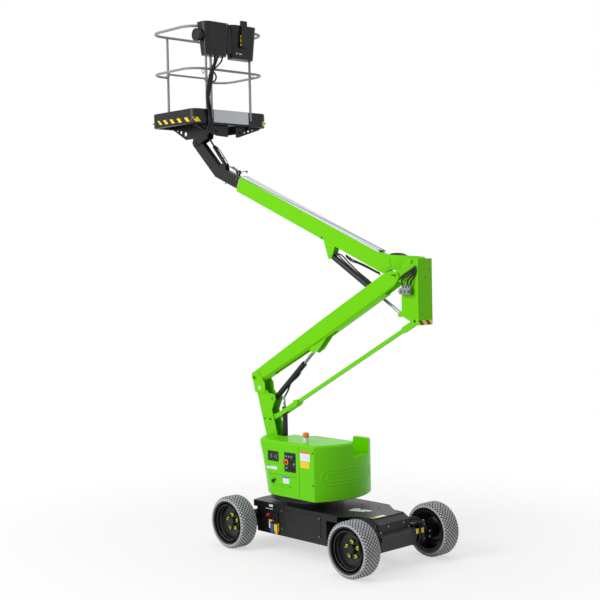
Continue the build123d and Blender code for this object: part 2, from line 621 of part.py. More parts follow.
with BuildPart() as upright:
    plate = [at(UR_X0, UR_LEFT_Z), at(UR_X1 - 50, UR_LOW_Z), at(UR_X1, UR_LOW_Z), at(UR_X1, UR_TOP_Z),
             at(UR_STEP_X, UR_TOP_Z), at(UR_X0 + 20, UR_STEP_Z), at(UR_X0, UR_STEP_Z - 70)]
    # plates beside the lower boom's pin
    lug = [(B_PIN[0] - 14, B_PIN[1] - 42), at(UR_X0 + 20, LUG_TOP_Z - 170), at(UR_X1 - 8, LUG_TOP_Z - 220),
           at(UR_X1 - 8, LUG_TOP_Z), at(UR_X0 + 20, LUG_TOP_Z), (B_PIN[0] - 14, B_PIN[1] + 42)]
    for y0, y1 in ((-95, -85), (-15, -5)):
        slab(lug, y0, y1)
        disc(B_PIN, 44, y0, y1)
    slab(plate, -95, -85)
    slab(plate, 2, 12)
    slab(plate, UR_Y - 10, UR_Y)
    slab([at(UR_X1 - 38, UR_LOW_Z), at(UR_X1, UR_LOW_Z), at(UR_X1, UR_TOP_Z), at(UR_X1 - 38, UR_TOP_Z)],
         -UR_Y, -UR_Y + 10)
    box(UR_X1 - 10, UR_X1, -UR_Y, UR_Y, UR_LOW_Z, UR_TOP_Z)
    disc(B_PIN, 22 + SPINDLE_FIT, -100, 0, mode=Mode.SUBTRACT)
    for y0, y1 in ((-95, -85), (2, 12)):
        disc(D_PIN, 34, y0, y1)
    disc(D_PIN, 16, -103, 10)
    disc(U_PIN, 20, -UR_Y - 8, UR_Y + 6)
    ears = [(V_PIN[0], V_PIN[1] - 27), at(UR_X0 + 10, 2762), at(UR_X0 + 80, 2780), at(UR_X0 + 80, 2860),
            (V_PIN[0], V_PIN[1] + 27)]
    slab(ears, 18, 28)
    disc(V_PIN, 27, 18, 28)
    slab(ears, 100, UR_Y)
    disc(V_PIN, 27, 100, UR_Y)
    box(UR_X0 + 14, UR_X0 + 78, 12, 18, 2785, 2845)
save(upright.part, "upright")

with BuildPart() as valve_block:
    box(VALVE_X0, VALVE_X0 + 154, -150, -95 - GAP / 3, VALVE_Z1 - 72, VALVE_Z1)
    # cartridges on top: X, radius, height
    for valve_x, valve_r, valve_h in (
        (1268.0, 13.0, 26.0), (1306.0, 15.0, 34.0), (1344.0, 13.0, 26.0), (1380.0, 12.0, 22.0),
    ):
        with BuildSketch(Plane.XY.offset(VALVE_Z1 - 2)):
            with Locations((MID_X + valve_x, -122)):
                Circle(valve_r)
        extrude(amount=valve_h)
    for coil_x in (1272.0, 1322.0, 1372.0):
        disc(at(coil_x, VALVE_Z1 - 36), 17, -178, -149)
save(valve_block.part, "valve_block")

# ---------------------------------------------------------------- upper boom and nose
with BuildPart() as upper_boom:
    tube = [
        up_pt(UP_MOUTH, UP_TOP), up_pt(UP_MOUTH, UP_LOW), up_pt(430, UP_LOW), up_pt(398, 302),
        up_pt(340, 190), up_pt(400, UP_TOP),
    ]
    slab(tube, UP_Y0, UP_Y1)
    inside = [
        up_pt(UP_MOUTH + 10, UP_TOP + UP_WALL), up_pt(UP_MOUTH + 10, UP_LOW - UP_WALL),
        up_pt(440, UP_LOW - UP_WALL), up_pt(440, UP_TOP + UP_WALL),
    ]
    slab(inside, UP_Y0 + UP_WALL, UP_Y1 - UP_WALL, mode=Mode.SUBTRACT)
    horn = [
        up_pt(520, UP_TOP + 2), up_pt(400, 90), up_pt(10, -46), up_pt(-36, 30), up_pt(20, 96), up_pt(230, 212),
        up_pt(340, 236), up_pt(402, 300), up_pt(520, 300),
    ]
    for y0, y1 in ((UP_Y0 + 4, UP_Y0 + 14), (UP_Y1 - 32, UP_Y1 - 22)):
        slab(horn, y0, y1)
    disc(U_PIN, 46, UP_Y0 + 4, UP_Y1 - 22)
    disc(U_PIN, 20 + SPINDLE_FIT, UP_Y0, UP_Y1, mode=Mode.SUBTRACT)
    ears = [up_pt(1225, UP_LOW - 4), up_pt(1423, UP_LOW - 4), up_pt(1296, W_DOWN + 8), up_pt(1226, W_DOWN + 8)]
    for y0, y1 in ((UP_Y0 + 0.5, 30.5), (97.5, UP_Y1 - 10)):
        slab(ears, y0, y1)
        disc(W_PIN, 36, y0, y1)
    disc(W_PIN, 16, UP_Y0 - 4, UP_Y1 - 4)
save(upper_boom.part, "upper_boom")

with BuildPart() as boom_cover:
    cover = [up_pt(UP_MOUTH - 30, UP_TOP - 22), up_pt(UP_MOUTH - 30, UP_TOP), up_pt(560, UP_TOP),
             up_pt(560, UP_TOP - 14), up_pt(600, UP_TOP - 22)]
    slab(cover, UP_Y0 - 1, UP_Y1 + 1)
    inner_cover = [up_pt(UP_MOUTH, UP_TOP - 19), up_pt(UP_MOUTH, UP_TOP + 2), up_pt(540, UP_TOP + 2),
                   up_pt(540, UP_TOP - 19)]
    slab(inner_cover, UP_Y0 + 2, UP_Y1 - 2, mode=Mode.SUBTRACT)
save(boom_cover.part, "boom_cover")

with BuildPart() as wear_pads:
    for d0, d1 in ((UP_TOP + UP_WALL, NOSE_TOP - GAP), (NOSE_LOW + GAP, UP_LOW - UP_WALL)):
        pad = [up_pt(PAD0, d0), up_pt(PAD1, d0), up_pt(PAD1, d1), up_pt(PAD0, d1)]
        slab(pad, 42, 98)
    for y0, y1 in ((UP_Y0 + UP_WALL, NOSE_Y0 - GAP), (NOSE_Y1 + GAP, UP_Y1 - UP_WALL)):
        pad = [up_pt(PAD0, 165), up_pt(PAD1, 165), up_pt(PAD1, 280), up_pt(PAD0, 280)]
        slab(pad, y0, y1)
save(wear_pads.part, "wear_pads")

with BuildPart() as boom_nose:
    crank = [
        up_pt(NOSE_REAR, NOSE_LOW), up_pt(CRANK, NOSE_LOW), up_pt(L_ALONG + 48, L_DOWN + 60),
        up_pt(L_ALONG + 78, L_DOWN + 29), up_pt(L_ALONG + 68, L_DOWN - 43), up_pt(L_ALONG + 25, L_DOWN - 88),
        up_pt(CRANK - 36, NOSE_TOP + 3), up_pt(CRANK - 56, NOSE_TOP), up_pt(NOSE_REAR, NOSE_TOP),
    ]
    slab(crank, NOSE_Y0, NOSE_Y1)
    hollow_a = [
        up_pt(NOSE_REAR - 10, NOSE_LOW - 6), up_pt(CRANK - 60, NOSE_LOW - 6), up_pt(CRANK - 60, NOSE_TOP + 6),
        up_pt(NOSE_REAR - 10, NOSE_TOP + 6),
    ]
    slab(hollow_a, NOSE_Y0 + 6, NOSE_Y1 - 6, mode=Mode.SUBTRACT)
    hollow_b = [
        up_pt(CRANK + 8, NOSE_LOW - 10), up_pt(L_ALONG - 87, L_DOWN + 105), up_pt(L_ALONG - 137, L_DOWN - 19),
        up_pt(CRANK - 22, NOSE_TOP + 6),
    ]
    slab(hollow_b, NOSE_Y0 + 6, NOSE_Y1 - 6, mode=Mode.SUBTRACT)
    disc(L_PIN, 22 + SPINDLE_FIT, NOSE_Y0 - 1, NOSE_Y1 + 1, mode=Mode.SUBTRACT)
    ears = [
        up_pt(LEV_ALONG - 60, NOSE_TOP + 4), up_pt(LEV_ALONG + 70, NOSE_TOP + 6),
        up_pt(LEV_ALONG + 28, LEV_DOWN - 13), up_pt(LEV_ALONG - 26, LEV_DOWN - 13),
    ]
    for y0, y1 in ((NOSE_Y0 + 2, 46), (94, NOSE_Y1 - 2)):
        slab(ears, y0, y1)
        disc(M_PIN, 26, y0, y1)
    disc(M_PIN, 11, NOSE_Y0 - 2, NOSE_Y1 + 2)
save(boom_nose.part, "boom_nose")

# ---------------------------------------------------------------- cage
def cage_at(x, z):
    """Place in the side view from the middle of the cage's floor."""
    return (MID_X + CAGE_X + x, FLOOR_Z + z)


def cage_box(x0, x1, y0, y1, z0, z1, mode=Mode.ADD):
    """Block from the middle of the cage's floor."""
    box(CAGE_X + x0, CAGE_X + x1, y0, y1, FLOOR_Z + z0, FLOOR_Z + z1, mode=mode)


in_x = TOE_X / 2 - TOE_T
in_y = TOE_Y / 2 - TOE_T
with BuildPart() as cage_frame:
    cage_box(-in_x - 32, in_x + 32, -in_y - 32, in_y + 32, -16, -4)
    cage_box(-in_x + 40, in_x - 40, -in_y + 40, in_y - 40, -17, -3, mode=Mode.SUBTRACT)
    for y in (-560.0, -300.0, 124.0, 300.0, 560.0):
        y = max(-in_y + 10, min(in_y - 10, y))
        cage_box(-in_x, in_x, y - 10, y + 10, -60, -8)
    for x in (-in_x + 12, in_x - 12):
        cage_box(x - 12, x + 12, -in_y, in_y, -60, -8)
    # perforated gussets under the two sides, the deeper one on the right
    for y, depth in ((-300.0, 1.0), (300.0, 0.5)):
        gusset = [cage_at(-391, -58), cage_at(-98, -58 - 162 * depth), cage_at(275, -58 - 162 * depth),
                  cage_at(in_x + 5, -58 - 92 * depth), cage_at(in_x + 5, -58)]
        slab(gusset, y - 4, y + 4)
        for hole_x, hole_z, hole_r in ((-335, -74, 9), (-270, -92, 14), (-197, -118, 21), (-105, -148, 27)):
            disc(cage_at(hole_x, -58 + (hole_z + 58) * depth), hole_r * depth, y - 5, y + 5, mode=Mode.SUBTRACT)
    # perforated cross beam, open over the nose
    for hand in (-1, 1):
        inner_y = 128.0 if hand > 0 else -2.0
        beam = [
            (inner_y, FLOOR_Z - 58), (inner_y, FLOOR_Z - 208), (hand * 180, FLOOR_Z - 200),
            (hand * 520, FLOOR_Z - 90), (hand * 520, FLOOR_Z - 58),
        ]
        with BuildSketch(Plane.YZ.offset(MID_X + CAGE_X + 353)):
            Polygon(*beam, align=None)
            for hole_y, hole_z, hole_r in ((190, -138, 20), (262, -126, 19), (330, -112, 17), (394, -96, 14)):
                with Locations((hand * hole_y, FLOOR_Z + hole_z)):
                    Circle(hole_r, mode=Mode.SUBTRACT)
        extrude(amount=8)
    # cheeks that carry the nose's pin and the levelling rod's eye
    cheek = [
        (L_PIN[0] - 50, L_PIN[1] - 10), (L_PIN[0] - 20, L_PIN[1] - 48), (L_PIN[0] + 40, L_PIN[1] - 40),
        (N_PIN[0] + 70, N_PIN[1] - 60), (N_PIN[0] + 90, FLOOR_Z - 58), (L_PIN[0] - 50, FLOOR_Z - 58),
    ]
    for y0, y1 in ((20, 28), (112, 120)):
        slab(cheek, y0, y1)
    disc(L_PIN, 22, 14, 126)
    cage_box(-375, in_x + 5, 14, 134, -60, -54)
    cage_box(-375, -235, 14, 134, -60, -14)
save(cage_frame.part, "cage_frame")

with BuildPart() as toe_mouldings:
    with BuildSketch(Plane.XY.offset(TOE_Z0)):
        with Locations((MID_X + CAGE_X, 0)):
            RectangleRounded(TOE_X, TOE_Y, 95)
            RectangleRounded(TOE_X - 2 * TOE_T, TOE_Y - 2 * TOE_T, 50, mode=Mode.SUBTRACT)
    extrude(amount=TOE_Z1 - TOE_Z0)
    fillet(toe_mouldings.faces().sort_by(Axis.Z)[-1].outer_wire().edges(), 14)
    fillet(toe_mouldings.faces().sort_by(Axis.Z)[0].outer_wire().edges(), 14)
    add(cage_frame.part, mode=Mode.SUBTRACT)
    cage_box(TOE_X / 2 - 12, TOE_X / 2 + 2, -285, 272, -TOE_DOWN - 1, TOE_UP + 1, mode=Mode.SUBTRACT)
    for hand in (-1, 1):
        for x in (CAGE_X - RAIL_X / 2, CAGE_X + RAIL_X / 2):
            with BuildSketch(Plane.XY.offset(FLOOR_Z)):
                with Locations((MID_X + x, hand * POST_Y)):
                    Circle(POST_R)
            extrude(amount=200, mode=Mode.SUBTRACT)
save(toe_mouldings.part, "toe_mouldings")

with BuildPart() as toe_panel:
    cage_box(TOE_X / 2 - 12, TOE_X / 2 + 1, -284, 271, -46, 106)
save(toe_panel.part, "toe_panel")

with BuildPart() as cage_floor:
    with BuildSketch(Plane.XY.offset(FLOOR_Z - 4)):
        with Locations((MID_X + CAGE_X, 0)):
            RectangleRounded(TOE_X - 2 * TOE_T, TOE_Y - 2 * TOE_T, 50)
    extrude(amount=4)
save(cage_floor.part, "cage_floor")


def tube(start, end, radius):
    """Round tube between two places."""
    axis = Plane(origin=start, z_dir=(end[0] - start[0], end[1] - start[1], end[2] - start[2]))
    with BuildSketch(axis) as outline:
        Circle(radius)
    length = math.dist(start, end)
    extrude(outline.sketch, amount=length)


def corner(centre_x, centre_y, z, from_deg, radius):
    """Quarter bend of the rail tube about an upright axis."""
    a = math.radians(from_deg)
    origin = (centre_x + RAIL_CORNER * math.cos(a), centre_y + RAIL_CORNER * math.sin(a), z)
    with BuildSketch(Plane(origin=origin, x_dir=(0, 0, 1), z_dir=(-math.sin(a), math.cos(a), 0))) as outline:
        Circle(radius)
    revolve(outline.sketch, axis=Axis((centre_x, centre_y, 0), (0, 0, 1)), revolution_arc=90)


rail_x0 = MID_X + CAGE_X - RAIL_X / 2
rail_x1 = MID_X + CAGE_X + RAIL_X / 2
with BuildPart() as cage_rails:
    for z, radius, closed in ((TOP_RAIL_Z, TUBE_R, True), (MID_RAIL_Z, TUBE_R - 2, False)):
        run_y = RAIL_Y / 2 - RAIL_CORNER
        entry_y = 0.0 if closed else POST_Y
        tube((rail_x1, -run_y, z), (rail_x1, run_y, z), radius)
        for hand in (-1, 1):
            side_y = hand * RAIL_Y / 2
            tube((rail_x0 + RAIL_CORNER, side_y, z), (rail_x1 - RAIL_CORNER, side_y, z), radius)
            tube((rail_x0, hand * entry_y, z), (rail_x0, hand * run_y, z), radius)
        for x, y, from_deg in (
            (rail_x0 + RAIL_CORNER, -run_y, 180), (rail_x1 - RAIL_CORNER, -run_y, 270),
            (rail_x1 - RAIL_CORNER, run_y, 0), (rail_x0 + RAIL_CORNER, run_y, 90),
        ):
            corner(x, y, z, from_deg, radius)
    for hand in (-1, 1):
        for x in (rail_x0, rail_x1):
            tube((x, hand * POST_Y, FLOOR_Z), (x, hand * POST_Y, TOP_RAIL_Z), POST_R)
save(cage_rails.part, "cage_rails")

with BuildPart() as drop_bar:
    bar_z = MID_RAIL_Z + TUBE_R - 2 + GAP + 30
    tube((rail_x0, -POST_Y, bar_z), (rail_x0, POST_Y, bar_z), 13)
    for hand in (-1, 1):
        tube((rail_x0, hand * POST_Y, bar_z - 30), (rail_x0, hand * POST_Y, bar_z + 30), POST_R + 6)
    for hand in (-1, 1):
        with BuildSketch(Plane.XY.offset(bar_z - 31)):
            with Locations((rail_x0, hand * POST_Y)):
                Circle(POST_R + 0.1)
        extrude(amount=62, mode=Mode.SUBTRACT)
save(drop_bar.part, "drop_bar")

with BuildPart() as console_box:
    # middle and width of each lobe along Y, how far its foot lies below the lid
    lobes = [(-296.0, 404.0, 395.0), (122.0, 422.0, 405.0)]
    for lobe_y, lobe_w, lobe_h in lobes:
        for wall in (0.0, CONSOLE_WALL):
            foot_z = FLOOR_Z + CONSOLE_UP - lobe_h + wall
            lid_z = FLOOR_Z + CONSOLE_UP - wall
            with BuildSketch(Plane.XY.offset(foot_z)) as lobe_foot:
                with Locations((MID_X + CAGE_X + CONSOLE_X + 2, lobe_y)):
                    RectangleRounded(130 - 2 * wall, lobe_w - 70 - 2 * wall, 50 - wall)
            with BuildSketch(Plane.XY.offset(lid_z)) as lobe_lid:
                with Locations((MID_X + CAGE_X + CONSOLE_X - 3, lobe_y)):
                    RectangleRounded(215 - 2 * wall, lobe_w - 2 * wall, 80 - wall)
            loft([lobe_foot.sketch, lobe_lid.sketch], mode=Mode.SUBTRACT if wall else Mode.ADD)
    cage_box(CONSOLE_X - 50, CONSOLE_X + 60, -130, -60, CONSOLE_UP - 350, CONSOLE_UP - 20)
    # drum at one end and post on the other lobe
    for radius, y0, y1 in ((58.0, -522, -480), (76.0, -560, -522)):
        disc(cage_at(CONSOLE_X - 12, CONSOLE_UP - 160), radius, y0, y1)
    cage_box(CONSOLE_X + 96, CONSOLE_X + 128, 48, 138, CONSOLE_UP - 270, CONSOLE_UP + 54)
    cage_box(CONSOLE_X + 60, CONSOLE_X + 100, 58, 128, CONSOLE_UP - 80, CONSOLE_UP - 20)
    add(cage_rails.part, mode=Mode.SUBTRACT)
save(console_box.part, "console_box")

with BuildPart() as cage_hoses:
    out_x = CAGE_X + TOE_X / 2 + HOSE_R + GAP
    # Y at the console, at the mid rail, at the post and at the underframe
    for top_y, rail_y, post_y, low_y in ((-224.0, -344.0, -402.0, -374.0), (-268.0, -316.0, -374.0, -346.0)):
        with BuildLine() as run:
            FilletPolyline(
                (MID_X + CAGE_X + CONSOLE_X - 10, top_y, FLOOR_Z + CONSOLE_UP - 396),
                (MID_X + out_x + 12, rail_y, FLOOR_Z + 470),
                (MID_X + out_x + 12, post_y, FLOOR_Z + 250),
                (MID_X + out_x, low_y, FLOOR_Z + 90),
                (MID_X + out_x, low_y + 4, FLOOR_Z - 86),
                (MID_X + CAGE_X + 373, low_y + 20, FLOOR_Z - 150),
                radius=62,
            )
        with BuildSketch(Plane(origin=run.line @ 0, z_dir=run.line % 0)) as hose_end:
            Circle(HOSE_R)
        sweep(hose_end.sketch, path=run.line)
    add(console_box.part, mode=Mode.SUBTRACT)
    add(cage_frame.part, mode=Mode.SUBTRACT)
save(cage_hoses.part, "cage_hoses")

# ---------------------------------------------------------------- cylinders
# name, base pin, rod pin, Y, barrel radius, barrel length, rod radius, rod length, pin radii, eye half width
CYLINDERS = [
    ("lift", E_PIN, K_PIN, LOW_MID, LIFT_R, LIFT_BARREL, 18.0, LIFT_ROD, E_PIN_R, 30.0),
    ("tilt", W_PIN, V_PIN, UP_MID - 6, TILT_R, TILT_BARREL, 18.0, TILT_ROD, 16.0, 26.0),
    ("level", M_PIN, N_PIN, UP_MID, LEV_R, LEV_BARREL, 12.0, LEV_ROD, 11.0, 15.0),
]
for name, base, eye, y, radius, barrel_len, rod_r, rod_len, pin_r, half_eye in CYLINDERS:
    total = math.hypot(eye[0] - base[0], eye[1] - base[1])
    with BuildPart() as barrel:
        disc(base, radius, y - half_eye, y + half_eye)
        bar(toward(base, eye, radius * 0.4), toward(base, eye, barrel_len), radius, y)
        bore_end = toward(base, eye, barrel_len + 5)
        bar(toward(base, eye, radius + 10), bore_end, rod_r + GAP, y, mode=Mode.SUBTRACT)
        disc(base, pin_r + SPINDLE_FIT, y - radius - 1, y + radius + 1, mode=Mode.SUBTRACT)
    save(barrel.part, f"{name}_barrel")
    with BuildPart() as rod:
        disc(eye, rod_r + 8, y - half_eye, y + half_eye)
        bar(toward(base, eye, total - rod_len), toward(base, eye, total - radius * 0.4), rod_r, y)
    save(rod.part, f"{name}_rod")
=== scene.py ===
import math

import bpy
import numpy as np
from mathutils import Matrix, Vector


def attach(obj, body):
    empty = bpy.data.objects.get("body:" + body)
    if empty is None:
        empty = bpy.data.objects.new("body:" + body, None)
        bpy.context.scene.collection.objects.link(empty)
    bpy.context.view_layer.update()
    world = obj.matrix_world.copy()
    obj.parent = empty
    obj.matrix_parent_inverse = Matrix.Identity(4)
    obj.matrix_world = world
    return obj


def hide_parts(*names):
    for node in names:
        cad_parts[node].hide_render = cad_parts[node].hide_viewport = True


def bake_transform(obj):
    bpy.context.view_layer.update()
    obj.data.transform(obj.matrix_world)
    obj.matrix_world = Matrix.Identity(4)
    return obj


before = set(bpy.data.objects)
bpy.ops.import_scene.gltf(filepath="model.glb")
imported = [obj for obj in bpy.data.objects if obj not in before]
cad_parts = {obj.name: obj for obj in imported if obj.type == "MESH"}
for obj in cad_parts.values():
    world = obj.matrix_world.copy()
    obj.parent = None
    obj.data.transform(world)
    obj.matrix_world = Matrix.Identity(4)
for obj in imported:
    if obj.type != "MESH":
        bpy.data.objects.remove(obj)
scene = bpy.context.scene
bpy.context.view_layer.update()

# ---------------------------------------------------------------- studio
# A pale floor, a white surround and two soft lamps: a large panel high on the right side and
# one overhead, with the camera at boom height off the tail corner.

camera_data = bpy.data.cameras.new("camera")
camera_data.sensor_width = 36.0
camera_data.lens = 70.922
camera_data.clip_end = 200.0
camera = bpy.data.objects.new("camera", camera_data)
scene.collection.objects.link(camera)
camera_right = Vector((0.681483, 0.731567, -0.019767))
camera_up = Vector((-0.012146, 0.038312, 0.999192))
camera_back = camera_right.cross(camera_up)
camera_turn = Matrix((camera_right, camera_up, camera_back)).transposed().to_4x4()
camera.matrix_world = Matrix.Translation((10.181, -9.411, 3.369)) @ camera_turn
scene.camera = camera
scene.view_settings.view_transform = "Standard"


def panel_lamp(name, place, target, width, power):
    """Square lamp panel at a place, facing its target."""
    data = bpy.data.lights.new(name, "AREA")
    data.shape = "SQUARE"
    data.size = width
    data.energy = power
    lamp = bpy.data.objects.new(name, data)
    scene.collection.objects.link(lamp)
    lamp.location = place
    lamp.rotation_mode = "QUATERNION"
    lamp.rotation_quaternion = (Vector(target) - Vector(place)).to_track_quat("-Z", "Y")


panel_lamp("key_panel", (-2.5, -12.0, 9.0), (0.0, 0.0, 2.6), 7.0, 1120.0)
panel_lamp("top_panel", (0.0, 1.0, 14.0), (0.0, 0.0, 0.0), 9.0, 560.0)


def shown_to_lens(nodes, links):
    """Light Path output that is 1 for camera, mirror and see-through rays."""
    path = nodes.new("ShaderNodeLightPath")
    first = nodes.new("ShaderNodeMath")
    first.operation = "MAXIMUM"
    links.new(path.outputs["Is Camera Ray"], first.inputs[0])
    links.new(path.outputs["Is Glossy Ray"], first.inputs[1])
    both = nodes.new("ShaderNodeMath")
    both.operation = "MAXIMUM"
    links.new(first.outputs[0], both.inputs[0])
    links.new(path.outputs["Is Transmission Ray"], both.inputs[1])
    return both.outputs[0]


world = bpy.data.worlds.new("surround")
world.use_nodes = True
world_nodes = world.node_tree.nodes
world_links = world.node_tree.links
surround = world_nodes["Background"]
surround.inputs["Color"].default_value = (1.0, 1.0, 1.0, 1.0)
dim = world_nodes.new("ShaderNodeMapRange")
dim.inputs["To Min"].default_value = 0.42
dim.inputs["To Max"].default_value = 1.0
world_links.new(shown_to_lens(world_nodes, world_links), dim.inputs["Value"])
world_links.new(dim.outputs["Result"], surround.inputs["Strength"])
scene.world = world


def floor_finish():
    """Matt white that keeps a soft shadow and otherwise meets the surround without an edge."""
    made = bpy.data.materials.new("studio_floor")
    made.use_nodes = True
    nodes = made.node_tree.nodes
    links = made.node_tree.links
    nodes.clear()
    out = nodes.new("ShaderNodeOutputMaterial")
    matt = nodes.new("ShaderNodeBsdfDiffuse")
    matt.inputs["Color"].default_value = (0.9, 0.9, 0.9, 1.0)
    glow = nodes.new("ShaderNodeEmission")
    blend = nodes.new("ShaderNodeMixShader")
    place = nodes.new("ShaderNodeNewGeometry")
    reach = nodes.new("ShaderNodeVectorMath")
    reach.operation = "LENGTH"
    links.new(place.outputs["Position"], reach.inputs[0])
    spread = nodes.new("ShaderNodeMapRange")
    spread.interpolation_type = "SMOOTHSTEP"
    spread.inputs["From Min"].default_value = 1.6
    spread.inputs["From Max"].default_value = 5.5
    spread.inputs["To Min"].default_value = 0.6
    spread.inputs["To Max"].default_value = 1.0
    links.new(reach.outputs["Value"], spread.inputs["Value"])
    share = nodes.new("ShaderNodeMath")
    share.operation = "MULTIPLY"
    links.new(spread.outputs["Result"], share.inputs[1])
    links.new(shown_to_lens(nodes, links), share.inputs[0])
    links.new(share.outputs[0], blend.inputs["Fac"])
    links.new(matt.outputs[0], blend.inputs[1])
    links.new(glow.outputs[0], blend.inputs[2])
    links.new(blend.outputs[0], out.inputs["Surface"])
    return made


def flat_disc(name, radius, z, rings=12, sides=96):
    """Disc on a grid of radius and angle: each point is radius times its share, turned by its angle."""
    share = np.linspace(0.0, 1.0, rings)[:, None]
    turn = np.linspace(0.0, 2 * np.pi, sides, endpoint=False)[None, :]
    x = radius * share * np.cos(turn)
    y = radius * share * np.sin(turn)
    points = np.stack([x, y, np.full_like(x, z)], axis=-1).reshape(-1, 3)
    row, col = np.meshgrid(np.arange(rings - 1), np.arange(sides), indexing="ij")
    beside = (col + 1) % sides
    faces = np.stack([row * sides + col, (row + 1) * sides + col,
                      (row + 1) * sides + beside, row * sides + beside], axis=-1).reshape(-1, 4)
    mesh = bpy.data.meshes.new(name)
    mesh.from_pydata(points.tolist(), [], faces.tolist())
    made = bpy.data.objects.new(name, mesh)
    scene.collection.objects.link(made)
    return made


floor = flat_disc("floor", 60.0, -0.0006)
floor.data.materials.append(floor_finish())

# ---------------------------------------------------------------- chassis
# Welded steel box with two side boxes for the batteries, a deck plate, axle beams and plates.
# It is painted satin black, and dust gathers low down.


def srgb(red, green, blue):
    """Linear colour of a colour given in 0 to 255."""
    value = np.array([red, green, blue]) / 255.0
    linear = np.where(value <= 0.04045, value / 12.92, ((value + 0.055) / 1.055) ** 2.4)
    return (*linear.tolist(), 1.0)


def node_group(name, inputs, outputs):
    """Empty shader group with named float inputs and named outputs."""
    group = bpy.data.node_groups.new(name, "ShaderNodeTree")
    for label, low, high, value in inputs:
        socket = group.interface.new_socket(label, in_out="INPUT", socket_type="NodeSocketFloat")
        socket.default_value = value
        socket.min_value = low
        socket.max_value = high
    for label, kind in outputs:
        group.interface.new_socket(label, in_out="OUTPUT", socket_type=kind)
    return group, group.nodes.new("NodeGroupInput"), group.nodes.new("NodeGroupOutput")


def make_mottle():
    """Soft cloudy mask, from 0 to 1, of noise at a scale in object coordinates."""
    group, given, made = node_group("mottle", [("Scale", 0.0, 500.0, 6.0), ("Detail", 0.0, 15.0, 4.0)],
                                    [("Mask", "NodeSocketFloat")])
    place = group.nodes.new("ShaderNodeTexCoord")
    noise = group.nodes.new("ShaderNodeTexNoise")
    group.links.new(place.outputs["Object"], noise.inputs["Vector"])
    group.links.new(given.outputs["Scale"], noise.inputs["Scale"])
    group.links.new(given.outputs["Detail"], noise.inputs["Detail"])
    spread = group.nodes.new("ShaderNodeMapRange")
    spread.inputs["From Min"].default_value = 0.3
    spread.inputs["From Max"].default_value = 0.7
    group.links.new(noise.outputs["Fac"], spread.inputs["Value"])
    group.links.new(spread.outputs["Result"], made.inputs["Mask"])
    return group


def make_floor_dust():
    """Mask that fades from the floor up to a height, broken up by noise, and lies on upward faces."""
    group, given, made = node_group("floor_dust", [("Height", 0.01, 10.0, 0.7), ("Amount", 0.0, 1.0, 0.5)],
                                    [("Mask", "NodeSocketFloat")])
    place = group.nodes.new("ShaderNodeTexCoord")
    parts = group.nodes.new("ShaderNodeSeparateXYZ")
    group.links.new(place.outputs["Object"], parts.inputs["Vector"])
    fade = group.nodes.new("ShaderNodeMapRange")
    fade.inputs["To Min"].default_value = 1.0
    fade.inputs["To Max"].default_value = 0.0
    group.links.new(parts.outputs["Z"], fade.inputs["Value"])
    group.links.new(given.outputs["Height"], fade.inputs["From Max"])
    noise = group.nodes.new("ShaderNodeTexNoise")
    noise.inputs["Scale"].default_value = 9.0
    noise.inputs["Detail"].default_value = 6.0
    noise.inputs["Roughness"].default_value = 0.65
    group.links.new(place.outputs["Object"], noise.inputs["Vector"])
    ragged = group.nodes.new("ShaderNodeMapRange")
    ragged.inputs["From Min"].default_value = 0.38
    ragged.inputs["From Max"].default_value = 0.72
    group.links.new(noise.outputs["Fac"], ragged.inputs["Value"])
    shape = group.nodes.new("ShaderNodeNewGeometry")
    tilt = group.nodes.new("ShaderNodeSeparateXYZ")
    group.links.new(shape.outputs["Normal"], tilt.inputs["Vector"])
    lies = group.nodes.new("ShaderNodeMapRange")
    lies.inputs["From Min"].default_value = 0.3
    lies.inputs["From Max"].default_value = 1.0
    lies.inputs["To Max"].default_value = 0.35
    group.links.new(tilt.outputs["Z"], lies.inputs["Value"])
    total = group.nodes.new("ShaderNodeMath")
    total.operation = "ADD"
    group.links.new(fade.outputs["Result"], total.inputs[0])
    group.links.new(lies.outputs["Result"], total.inputs[1])
    broken = group.nodes.new("ShaderNodeMath")
    broken.operation = "MULTIPLY"
    group.links.new(total.outputs[0], broken.inputs[0])
    group.links.new(ragged.outputs["Result"], broken.inputs[1])
    scaled = group.nodes.new("ShaderNodeMath")
    scaled.operation = "MULTIPLY"
    scaled.use_clamp = True
    group.links.new(broken.outputs[0], scaled.inputs[0])
    group.links.new(given.outputs["Amount"], scaled.inputs[1])
    group.links.new(scaled.outputs[0], made.inputs["Mask"])
    return group


def make_grain():
    """Surface normal of fine noise bumps of a scale and height, such as paint skin or moulded grain."""
    group, given, made = node_group("grain", [("Scale", 0.0, 4000.0, 300.0), ("Height", 0.0, 1.0, 0.1)],
                                    [("Normal", "NodeSocketVector"), ("Relief", "NodeSocketFloat")])
    place = group.nodes.new("ShaderNodeTexCoord")
    noise = group.nodes.new("ShaderNodeTexNoise")
    noise.inputs["Detail"].default_value = 3.0
    group.links.new(place.outputs["Object"], noise.inputs["Vector"])
    group.links.new(given.outputs["Scale"], noise.inputs["Scale"])
    bump = group.nodes.new("ShaderNodeBump")
    bump.inputs["Distance"].default_value = 0.001
    group.links.new(given.outputs["Height"], bump.inputs["Strength"])
    group.links.new(noise.outputs["Fac"], bump.inputs["Height"])
    group.links.new(bump.outputs["Normal"], made.inputs["Normal"])
    group.links.new(noise.outputs["Fac"], made.inputs["Relief"])
    return group


mottle = make_mottle()
floor_dust = make_floor_dust()
grain = make_grain()


